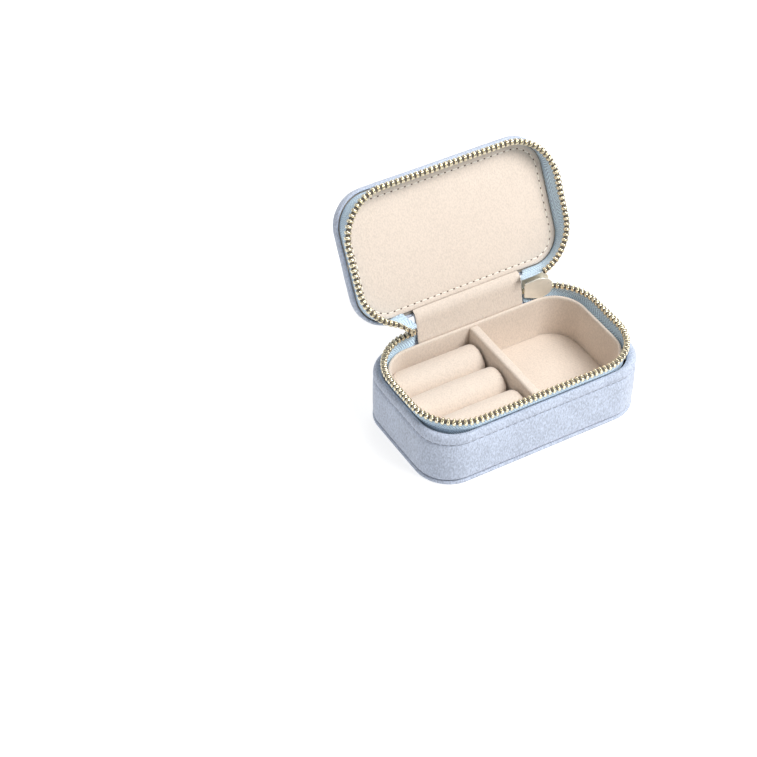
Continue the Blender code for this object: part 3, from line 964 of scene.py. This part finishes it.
class JEWELCASE_OT_lid_tape(bpy.types.Operator):
    """Builds the woven tape that stands along the lid, in two halves"""

    bl_idname = "jewelcase.lid_tape"
    bl_label = "Lid Tape"

    def execute(self, context):
        start = hinge_gap()
        middle = left_side()
        seam = COVER.inset(1.8 * MM)
        low = 2 * ZIP_MIDDLE - CHAIN_LOW.z - 0.25 * MM
        high = COVER_LOW.z + 0.9 * MM
        for side, ends in (
            ("right", (start - BEHIND_LINING, middle)),
            ("left", (middle, ZIP.perimeter - start - BEHIND_LINING / 2)),
        ):
            rows = tape_rows(seam, low, high, TAPE_DROPS, stations(*ends))
            tape = make_tape("woven_lid_tape_" + side, rows)
            if side == "right":
                swing_open(tape)
                dress(tape, finish_of("tape"), "zipper_tape", "lid", "lid_zipper_tape")
            else:
                dress_left(tape, finish_of("tape"), "zipper_tape", "lid_zipper_tape")
        return {"FINISHED"}


def tooth_model():
    """One metal tooth: a clamp on the tape's edge and a narrower head, which is at +Z."""
    along = zip_sizes().tooth
    across, clamp, head = 2.5 * MM, 1.55 * MM, 0.75 * MM
    tooth = block("tooth", (-along / 2, -across / 2, -clamp), (along / 2, across / 2, 0))

    def grow_head():
        choose("FACE", lambda face: face.normal.z > 0.9)
        bpy.ops.mesh.inset(thickness=0.22 * MM)
        bpy.ops.mesh.extrude_region_move(TRANSFORM_OT_translate={"value": (0, 0, head)})
        bpy.ops.transform.resize(value=(0.85, 0.85, 1))
        choose("EDGE", lambda edge: edge.calc_length() > 0.5 * MM)
        bpy.ops.mesh.bevel(offset=0.12 * MM, segments=1, affect="EDGES")

    edit(tooth, grow_head)
    smooth(tooth, 50)
    return tooth


# From the middle of the zip to the root of each row's heads.
TOOTH_ROOT = 0.62 * MM
# How far along the zip the slider reaches, and how much of their width the teeth keep there.
SLIDER_END = HINGE_HALF + 42 * MM
SLIM_TOOTH = 0.85
# From the hinge's side to the first tooth.
FIRST_TOOTH = 1 * MM
# From the middle of the zip to the middle of each cord.
BEAD_RISE = 1.2 * MM


def tooth_places(start, end, root, up):
    """A matrix for each tooth between two stations. Up is 1 on the base and -1 on the lid."""
    pitch = zip_sizes().pitch
    count = int((end - start) / pitch)
    found = []
    for step in range(count + 1):
        station = start + step * pitch
        point, along, outward = ZIP.at(station)
        slim = SLIM_TOOTH if station < SLIDER_END else 1
        turn = Matrix((up * along, outward * slim, Vector((0, 0, up)))).transposed()
        found.append(Matrix.Translation(point + Vector((0, 0, root))) @ turn.to_4x4())
    return found


def make_bead(name, places, height):
    """The cord in the tape's edge that the teeth are clamped on, seen between them. Its nearly
    black colour is painted shade in the gaps between the teeth.
    """
    reach, half = 0.9 * MM, 0.55 * MM
    ring = ((-reach, -half), (-reach, half), (reach, half), (reach, -half))
    rows = []
    for out, up in ring:
        row = []
        for place in places:
            point, _, outward = ZIP.at(place)
            row.append(point + outward * out + Vector((0, 0, height + up)))
        rows.append(row)
    bead_shade = lay(name, rows, round_trip=False, hollow=True)
    modify(bead_shade, "BEVEL", width=0.2 * MM, segments=1, angle_limit=math.radians(50))
    smooth(bead_shade, 50)
    return bead_shade


class JEWELCASE_OT_base_teeth(bpy.types.Operator):
    """Builds the row of teeth on the base's tape"""

    bl_idname = "jewelcase.base_teeth"
    bl_label = "Base Teeth"

    def execute(self, context):
        start = HINGE_HALF + FIRST_TOOTH
        places = tooth_places(start, ZIP.perimeter - start, ZIP_MIDDLE - TOOTH_ROOT, 1)
        teeth = copies("metal_base_teeth", tooth_model(), places)
        dress(teeth, finish_of("metal"), "zipper_teeth", "base", "base_zipper_chain")
        length_of_zip = stations(start, ZIP.perimeter - start)
        # The dark cord between the teeth carries painted shade.
        bead_shade = make_bead("base_tape_bead_shade", length_of_zip, ZIP_MIDDLE - BEAD_RISE)
        dress(bead_shade, finish_of("bead_shade"), "zipper_tape", "base", "base_zipper_tape")
        return {"FINISHED"}


class JEWELCASE_OT_lid_teeth(bpy.types.Operator):
    """Builds the row of teeth on the lid's tape, half a pitch from the base's, in two halves"""

    bl_idname = "jewelcase.lid_teeth"
    bl_label = "Lid Teeth"

    def execute(self, context):
        pitch = zip_sizes().pitch
        first = HINGE_HALF + FIRST_TOOTH + 1.5 * pitch
        low, high = slider_extent()
        clear = HINGE_HALF + 0.6 * (high.x - low.x)
        skipped = math.ceil((clear - first) / pitch)
        middle = first + pitch * round((left_side() - first) / pitch)
        end = ZIP.perimeter - HINGE_HALF - FIRST_TOOTH
        root = ZIP_MIDDLE + TOOTH_ROOT
        right = copies(
            "metal_lid_teeth_right",
            tooth_model(),
            tooth_places(first + skipped * pitch, middle - pitch / 2, root, -1),
        )
        swing_open(right)
        dress(right, finish_of("metal"), "zipper_teeth", "lid", "lid_zipper_chain")
        # The dark cords between the teeth carry painted shade.
        height = ZIP_MIDDLE + BEAD_RISE
        bead_shade = make_bead("lid_tape_bead_shade_right", stations(clear, left_side()), height)
        swing_open(bead_shade)
        dress(bead_shade, finish_of("bead_shade"), "zipper_tape", "lid", "lid_zipper_tape")
        bead_shade = make_bead("lid_tape_bead_shade_left", stations(left_side(), end), height)
        dress_left(bead_shade, finish_of("bead_shade"), "zipper_tape", "lid_zipper_tape")
        left = copies("metal_lid_teeth_left", tooth_model(), tooth_places(middle, end, root, -1))
        dress_left(left, finish_of("metal"), "zipper_teeth", "lid_zipper_chain")
        return {"FINISHED"}


# Sewing


def stitch_model(name, size):
    """A short rounded stitch along X."""
    bpy.ops.object.select_all(action="DESELECT")
    bpy.ops.mesh.primitive_uv_sphere_add(
        segments=8, ring_count=6, radius=0.5, rotation=(0, math.pi / 2, 0)
    )
    stitch = added(name)
    stitch.scale = (size.z, size.y, size.x)
    settle(stitch)

    def square_off():
        """Fuller ends than an egg's."""
        shape = bmesh.from_edit_mesh(stitch.data)
        for vert in shape.verts:
            reach = 2 * vert.co.x / size.x
            vert.co.x = math.copysign(abs(reach) ** 0.6, reach) * size.x / 2
        bmesh.update_edit_mesh(stitch.data)

    edit(stitch, square_off)
    smooth(stitch, 80)
    return stitch


def stitch_size():
    """Length, width and height of a stitch, which is a little flattened."""
    return Vector((sewing().stitch, sewing().thread, sewing().thread * 0.8))


def seam_places(rim, height, shift=0.0, tilt=0.0):
    """A matrix for each stitch round a rim, which faces out for a tilt of 90 degrees."""
    pitch = sewing().pitch
    count = round(rim.perimeter / pitch)
    found = []
    for step in range(count):
        point, along, outward = rim.at((step + shift) * rim.perimeter / count)
        up = Vector((0, 0, 1))
        face = (up * math.cos(tilt) + outward * math.sin(tilt)).normalized()
        side = face.cross(along)
        turn = Matrix((along, side, face)).transposed()
        found.append(Matrix.Translation(point + up * height) @ turn.to_4x4())
    return found


class JEWELCASE_OT_velvet_stitches(bpy.types.Operator):
    """Sews the velvet wall and the velvet lid in the velvet's colour, darkened as painted shade of
    the puckers along the seams
    """

    bl_idname = "jewelcase.velvet_stitches"
    bl_label = "Velvet Stitches"

    def execute(self, context):
        size = stitch_size()
        seam = CASE.inset(sewing().groove - 0.1 * MM)
        height = WALL_HIGH.z - sewing().wall_drop
        places = seam_places(seam, height, tilt=math.pi / 2)
        wall = copies("wall_stitches", stitch_model("stitch", size), places)
        dress(wall, finish_of("velvet_thread_painted_shade"), "velvet", "base")
        seam = COVER.inset(sewing().lid_margin)
        height = COVER_HIGH.z - sewing().groove + 0.1 * MM
        lid = copies("lid_stitches", stitch_model("stitch", size), seam_places(seam, height))
        swing_open(lid)
        dress(lid, finish_of("velvet_thread_painted_shade"), "velvet", "lid")
        return {"FINISHED"}


class JEWELCASE_OT_lining_stitches(bpy.types.Operator):
    """Sews the lid's lining, with a dark blob of painted shade for each needle hole between
    stitches
    """

    bl_idname = "jewelcase.lining_stitches"
    bl_label = "Lining Stitches"

    def execute(self, context):
        seam = LINING.inset(sewing().lining_margin)
        height = LINING_LOW.z - 0.02 * MM
        size = stitch_size()
        thread = copies("lining_stitches", stitch_model("stitch", size), seam_places(seam, height))
        swing_open(thread)
        dress(thread, finish_of("lining_thread"), "suede", "lid")
        # Flat dark blobs on the lining, painted shade inside the needle holes.
        size = Vector((0.75 * MM, 0.5 * MM, 0.28 * MM))
        places = seam_places(seam, height, shift=0.5)
        hole_shades = copies("needle_hole_shades", stitch_model("hole", size), places)
        swing_open(hole_shades)
        dress(hole_shades, finish_of("needle_hole_shade"), "suede", "lid")
        return {"FINISHED"}


# Lid


class JEWELCASE_OT_lid_cover(bpy.types.Operator):
    """Builds the padded velvet lid with the raised rim outside its seam"""

    bl_idname = "jewelcase.lid_cover"
    bl_label = "Lid Cover"

    def execute(self, context):
        foot, top = COVER_LOW.z, COVER_HIGH.z
        seam, groove, middle = sewing().lid_margin, sewing().groove, COVER.width / 2
        profile = [
            (middle, top - 1.2 * MM),
            *steps_from(top, (4, -1.3), (1.6, -1.7), (1.15, -2.6)),
            *steps_from(foot, (1.1, 0.5), (0.8, 0.05), (0.35, 0.1), (0, 0.6)),
            *steps_from(foot, (-0.15, 1.6), (-0.15, 2.6)),
            *steps_from(top, (0.1, -1.1), (0.6, -0.35), (1.4, 0.15), (2.4, 0.35)),
            *steps_from(top, (-1.2, 0.25), (-0.5, -0.05), start=seam),
            *steps_from(top - groove, (-0.15, 0), (0.15, 0), start=seam),
            *steps_from(top, (0.5, -0.05), (1.3, 0.25), (3.5, 0.5), (7, 0.65), start=seam),
            *steps_from(top, (12, 0.75), start=seam),
            (22 * MM, top + 0.8 * MM),
            (middle, top + 0.8 * MM),
        ]
        cover = lay("velvet_lid_cover", profile_rows(COVER, profile))
        refine(cover)
        soften(cover, 0.3 * MM, 12 * MM)
        soften(cover, 0.07 * MM, 1.6 * MM)
        smooth(cover, 60)
        swing_open(cover)
        dress(cover, finish_of("velvet"), "velvet", "lid", "lid_velvet_cover")
        return {"FINISHED"}


class JEWELCASE_OT_lid_lining(bpy.types.Operator):
    """Builds the suede lining inside the lid"""

    bl_idname = "jewelcase.lid_lining"
    bl_label = "Lid Lining"

    def execute(self, context):
        face, back = LINING_LOW.z, LINING_HIGH.z
        seam, middle = sewing().lining_margin, LINING.width / 2
        profile = [
            (middle, back),
            *steps_from(back, (0.5, 0), (0, -0.3)),
            *steps_from(face, (0.05, 0.25), (0.4, -0.08), (1.2, -0.22)),
            *steps_from(face, (-0.5, -0.16), (-0.1, 0.06), (0.1, 0.06), (0.5, -0.18), start=seam),
            *steps_from(face, (2, -0.3), (7, -0.42), (13, -0.48), start=seam),
            (20 * MM, face - 0.5 * MM),
            (middle, face - 0.5 * MM),
        ]
        lining = lay("suede_lid_lining", profile_rows(LINING, profile))
        refine(lining)
        soften(lining, 0.2 * MM, 14 * MM)
        smooth(lining, 60)
        swing_open(lining)
        dress(lining, finish_of("suede"), "suede", "lid", "lid_lining_panel")
        return {"FINISHED"}


# Hinge


def hinge_strip(name, path, thickness):
    """A strip across the hinge along a path in the YZ plane, as it lies with the lid open."""
    half = HINGE_HALF
    count = round(2 * half / COLUMN)
    places = [half - 2 * half * step / count for step in range(count + 1)]
    rows = [[Vector((x, y, z)) for x in places] for y, z in path]
    strip = lay(name, rows, round_trip=False)
    modify(strip, "SOLIDIFY", thickness=thickness, offset=0, use_even_offset=True)
    refine(strip, 2)
    soften(strip, 0.15 * MM, 6 * MM)
    smooth(strip, 60)
    return strip


class JEWELCASE_OT_hinge(bpy.types.Operator):
    """Builds the two layers of the fabric hinge, shaped as they lie with the lid open"""

    bl_idname = "jewelcase.hinge"
    bl_label = "Fabric Hinge"

    def execute(self, context):
        seam = OPEN @ Vector((0, LINING.width / 2 - 0.3 * MM, LINING_LOW.z - 0.1 * MM))
        foot, rim = TRAY.width / 2 + BEHIND_TRAY, TRAY_HIGH.z
        lining_path = [
            *steps_from(rim, (0, -1.6), (0.05, -0.1), (0.4, 1), start=foot),
            *steps_from(rim, (0.75, 2.6), (1.15, 4.6), start=foot),
            *steps_from(HINGE.z, (1.6, -5), (1.95, -2.8), (2.35, -1.2), (2.95, -0.2), start=foot),
            (HINGE.y + 1.2 * MM, HINGE.z + 0.5 * MM),
            (seam.y - 0.9 * MM, seam.z - 0.35 * MM),
            (seam.y, seam.z),
        ]
        lining = hinge_strip("suede_hinge", lining_path, 0.6 * MM)
        dress(lining, finish_of("suede"), "suede", None, "hinge_lining_strip", "lid_hinge_lining")
        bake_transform(lining)

        outer_y = HINGE.y + 0.55 * MM
        edge = OPEN @ Vector((0, COVER.width / 2 - 0.6 * MM, COVER_LOW.z + 0.4 * MM))
        velvet_path = [
            *steps_from(WALL_HIGH.z, (0, -1), (0, 1.2), start=outer_y),
            *steps_from(HINGE.z, (0.1, -6), (0.15, -3.2), (0.4, -1.9), (0.95, -1.4), start=outer_y),
            (edge.y, edge.z),
        ]
        outer = hinge_strip("velvet_hinge", velvet_path, 0.8 * MM)
        dress(outer, finish_of("velvet"), "velvet", None, "hinge_velvet_strip", "lid_hinge_velvet")
        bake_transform(outer)
        return {"FINISHED"}


# Slider and pull


def slider_axes():
    """The parked slider's directions: X along the zip, Y outwards, Z up."""
    along = Vector(joint("pull_swing")["axis"])
    outward = Vector((-along.y, along.x, 0))
    return Matrix((along, outward, Vector((0, 0, 1)))).transposed().to_4x4()


def slider_frame():
    """The parked slider's own axes about the middle of its body."""
    turn = slider_axes()
    low, high = local_box("slider_body", turn.inverted())
    return turn @ Matrix.Translation((low + high) / 2)


def slider_extent():
    return local_box("slider_body", slider_frame().inverted())


def plate_piece(name, outline, depth, bevel):
    """A flat plate in the XZ plane, from an outline of X and Z, with rounded edges."""
    bpy.ops.object.select_all(action="DESELECT")
    bpy.ops.mesh.primitive_circle_add(vertices=len(outline), fill_type="NGON")
    piece = added(name)
    for vert, (x, z) in zip(piece.data.vertices, outline):
        vert.co = (x, -depth / 2, z)

    def thicken():
        bpy.ops.mesh.extrude_region_move(TRANSFORM_OT_translate={"value": (0, depth, 0)})
        bpy.ops.mesh.select_all(action="SELECT")
        bpy.ops.mesh.normals_make_consistent(inside=False)

    edit(piece, thicken)
    modify(piece, "BEVEL", width=bevel, segments=3, angle_limit=math.radians(40))
    return piece


def shield_outline(low, high):
    """A slider plate: narrow at the hinge end, wide past the middle, with a rounded nose."""
    reach, tall = high.x, 1.1 * high.z
    nose = 0.86 * reach
    upper = [(-reach, 0.66 * tall), (-0.95 * reach, 0.72 * tall)]
    upper += [(-0.25 * reach, 0.97 * tall), (0, tall)]
    for step in range(1, 9):
        angle = math.pi / 2 * step / 8
        upper.append((nose * math.sin(angle), 0.2 * tall + 0.8 * tall * math.cos(angle)))
    return upper + [(x, -z) for x, z in reversed(upper)]


def wire(name, points, rod, cyclic=False):
    """A round wire through points, as a mesh."""
    curve = bpy.data.curves.new(name, "CURVE")
    curve.dimensions = "3D"
    curve.bevel_depth = rod / 2
    curve.bevel_resolution = 5
    curve.use_fill_caps = not cyclic
    line = curve.splines.new("BEZIER")
    line.bezier_points.add(len(points) - 1)
    for knot, point in zip(line.bezier_points, points):
        knot.co = point
        knot.handle_left_type = knot.handle_right_type = "AUTO"
    line.use_cyclic_u = cyclic
    piece = bpy.data.objects.new(name, curve)
    bpy.context.scene.collection.objects.link(piece)
    pick(piece)
    bpy.ops.object.convert(target="MESH")
    return added(name)


def joined(name, *pieces):
    pick(*pieces)
    bpy.ops.object.join()
    return added(name)


class JEWELCASE_OT_slider(bpy.types.Operator):
    """Builds the polished slider: two plates, the post between them and the bridge"""

    bl_idname = "jewelcase.slider"
    bl_label = "Slider"

    def execute(self, context):
        low, high = slider_extent()
        depth = 0.7 * MM
        plates = []
        for side in (-1, 1):
            plate = plate_piece("slider_plate", shield_outline(low, high), depth, 0.25 * MM)
            plate.location.y = side * (high.y - depth / 2)
            settle(plate)
            plates.append(plate)
        post = block(
            "slider_post",
            (high.x - 3.2 * MM, low.y + depth / 2, -0.25 * MM),
            (high.x - 2 * MM, high.y - depth / 2, 0.25 * MM),
        )
        body = joined("metal_slider_body", *plates, post)
        smooth(body, 45)
        body.data.transform(slider_frame())
        dress(body, finish_of("polished"), "slider_gold", "slider", "slider_body")

        bridge_low, bridge_high = local_box("slider_bridge", slider_frame().inverted())
        rod = bridge_high.z - bridge_low.z
        foot, reach = high.y - 0.2 * MM, bridge_high.y - rod / 2
        span = bridge_high.x - rod / 2
        halfway = foot + 0.5 * (reach - foot)
        arch = [(-span, foot), (-span, halfway), (-0.72 * span, reach - 0.25 * MM)]
        arch += [(-0.3 * span, reach), (0.3 * span, reach)]
        arch += [(-x, y) for x, y in reversed(arch[:3])]
        bridge = wire("metal_slider_bridge", [(x, y, 0) for x, y in arch], rod)
        bridge.data.transform(slider_frame())
        smooth(bridge, 60)
        dress(bridge, finish_of("polished"), "slider_gold", "slider", "slider_bridge")
        return {"FINISHED"}


class JEWELCASE_OT_pull(bpy.types.Operator):
    """Builds the wire bail and the flat pull that hangs from the slider's bridge"""

    bl_idname = "jewelcase.pull"
    bl_label = "Pull"

    def execute(self, context):
        place = Matrix.Translation(Vector(joint("pull_swing")["pos_m"])) @ slider_axes()
        low, high = local_box("pull_bail", place.inverted())
        rod = high.x - low.x
        half, top, bottom = high.y - rod / 2, high.z - rod / 2, low.z + rod / 2
        loop = []
        for middle, first in ((top - half, 0), (bottom + half, math.pi)):
            for step in range(7):
                angle = first + math.pi * step / 6
                loop.append((0, half * math.cos(angle), middle + half * math.sin(angle)))
        bail = wire("metal_pull_bail", loop, rod, cyclic=True)
        bail.data.transform(place)
        smooth(bail, 60)
        dress(bail, finish_of("polished"), "slider_gold", "pull", "pull_bail")

        low, high = local_box("pull_tab", place.inverted())
        wide, thick = high.x, high.y - low.y
        head, corner = 0.64 * wide, 0.9 * MM
        waist = high.z - 4.6 * MM
        right = [(head - corner, high.z), (head, high.z - corner), (wide, waist)]
        right += [(wide, low.z + corner), (wide - corner, low.z)]
        outline = right + [(-x, z) for x, z in reversed(right)]
        tab = plate_piece("metal_pull_tab", outline, thick, 0.28 * MM)
        hole = 0.95 * MM
        bpy.ops.object.select_all(action="DESELECT")
        bpy.ops.mesh.primitive_cylinder_add(
            vertices=32,
            radius=hole,
            depth=4 * thick,
            location=(0, 0, bottom - rod / 2 + 0.3 * MM + rod - hole),
            rotation=(math.pi / 2, 0, 0),
        )
        drill = added("pull_hole")
        modify(tab, "BOOLEAN", operation="DIFFERENCE", object=drill)
        bpy.data.objects.remove(drill)
        tab.data.transform(place)
        smooth(tab, 40)
        dress(tab, finish_of("polished"), "slider_gold", "pull", "pull_tab")
        return {"FINISHED"}


class JEWELCASE_OT_inner_layers(bpy.types.Operator):
    """Gives the hidden boards and foams their materials"""

    bl_idname = "jewelcase.inner_layers"
    bl_label = "Inner Layers"

    def execute(self, context):
        layers = {
            "base_board_tub": "board",
            "ring_bed": "board",
            "lid_board": "board",
            "base_foam_wall": "foam",
            "lid_foam_pad": "foam",
        }
        for node, finish in layers.items():
            mesh = frame["nodes"][node].data
            mesh.materials.clear()
            mesh.materials.append(finish_of(finish))
        return {"FINISHED"}


# Stage


class JEWELCASE_OT_stage(bpy.types.Operator):
    """Sets the pale floor, the soft lights and the camera"""

    bl_idname = "jewelcase.stage"
    bl_label = "Stage"

    def execute(self, context):
        view = context.scene.jewelry_case_view
        bpy.ops.object.select_all(action="DESELECT")
        bpy.ops.mesh.primitive_plane_add(size=6)
        floor = added("floor")
        covering, _, shader = start_material(
            "floor", (0.45, 0.45, 0.45), 0.9, specular_ior_level=0.0, emission_strength=0.72
        )
        shader.inputs["Emission Color"].default_value = (1, 1, 1, 1)
        floor.data.materials.append(covering)

        world = bpy.data.worlds.new("studio")
        world.use_nodes = True
        world.node_tree.nodes["Background"].inputs["Color"].default_value = (1, 1, 1, 1)
        world.node_tree.nodes["Background"].inputs["Strength"].default_value = view.sky
        context.scene.world = world
        self.lamp("key", (0.42, -0.5, 0.95), 0.6, view.lamp)
        self.lamp("back", (0.5, 0.6, 0.7), 0.6, view.lamp * 0.25)
        self.lamp("fill", (-0.6, 0.3, 1.0), 0.7, view.lamp * 0.1)

        tilt, turn = view.elevation, view.azimuth
        back = Vector(
            (math.sin(turn) * math.cos(tilt), -math.cos(turn) * math.cos(tilt), math.sin(tilt))
        )
        level = Vector((math.cos(turn), math.sin(turn), 0))
        upwards = back.cross(level)
        right = level * math.cos(view.roll) + upwards * math.sin(view.roll)
        up = upwards * math.cos(view.roll) - level * math.sin(view.roll)
        data = bpy.data.cameras.new("camera")
        data.lens = view.lens
        camera = bpy.data.objects.new("camera", data)
        context.scene.collection.objects.link(camera)
        spot = back * view.distance - right * view.aside + up * view.above
        facing = Matrix((right, up, back)).transposed().to_4x4()
        camera.matrix_world = Matrix.Translation(spot) @ facing
        context.scene.camera = camera
        context.scene.view_settings.view_transform = "Standard"
        return {"FINISHED"}

    def lamp(self, name, place, size, power):
        data = bpy.data.lights.new(name, "AREA")
        data.size, data.energy = size, power
        lamp = bpy.data.objects.new(name, data)
        lamp.location = place
        lamp.rotation_euler = Vector(place).to_track_quat("Z", "Y").to_euler()
        bpy.context.scene.collection.objects.link(lamp)


OPERATORS = (
    JEWELCASE_OT_stage,
    JEWELCASE_OT_velvet_wall,
    JEWELCASE_OT_bottom_panel,
    JEWELCASE_OT_tray,
    JEWELCASE_OT_divider,
    JEWELCASE_OT_ring_rolls,
    JEWELCASE_OT_floor_pad,
    JEWELCASE_OT_base_tape,
    JEWELCASE_OT_base_teeth,
    JEWELCASE_OT_lid_cover,
    JEWELCASE_OT_lid_lining,
    JEWELCASE_OT_lid_tape,
    JEWELCASE_OT_lid_teeth,
    JEWELCASE_OT_velvet_stitches,
    JEWELCASE_OT_lining_stitches,
    JEWELCASE_OT_hinge,
    JEWELCASE_OT_slider,
    JEWELCASE_OT_pull,
    JEWELCASE_OT_inner_layers,
)


class JEWELCASE_PT_panel(bpy.types.Panel):
    """Lists the case's pieces and its sizes"""

    bl_idname = "JEWELCASE_PT_panel"
    bl_label = "Jewelry Case"
    bl_space_type = "VIEW_3D"
    bl_region_type = "UI"
    bl_category = "Jewelry Case"

    def draw(self, context):
        for name in GROUPS:
            box = self.layout.box()
            group = getattr(context.scene, name)
            for setting in group.__annotations__:
                box.prop(group, setting)
        for operator in OPERATORS:
            self.layout.operator(operator.bl_idname)


GROUPS = {
    "jewelry_case_colours": CaseColours,
    "jewelry_case_sewing": CaseSewing,
    "jewelry_case_zip": CaseZip,
    "jewelry_case_view": CaseView,
}


def register():
    for group in GROUPS.values():
        bpy.utils.register_class(group)
    for name, group in GROUPS.items():
        setattr(bpy.types.Scene, name, PointerProperty(type=group))
    for operator in OPERATORS:
        bpy.utils.register_class(operator)
    bpy.utils.register_class(JEWELCASE_PT_panel)


def unregister():
    bpy.utils.unregister_class(JEWELCASE_PT_panel)
    for operator in reversed(OPERATORS):
        bpy.utils.unregister_class(operator)
    for name, group in reversed(GROUPS.items()):
        delattr(bpy.types.Scene, name)
        bpy.utils.unregister_class(group)


def main():
    """Builds every piece in order."""
    register()
    for operator in OPERATORS:
        family, _, action = operator.bl_idname.partition(".")
        getattr(getattr(bpy.ops, family), action)()


if __name__ == "__main__":
    main()
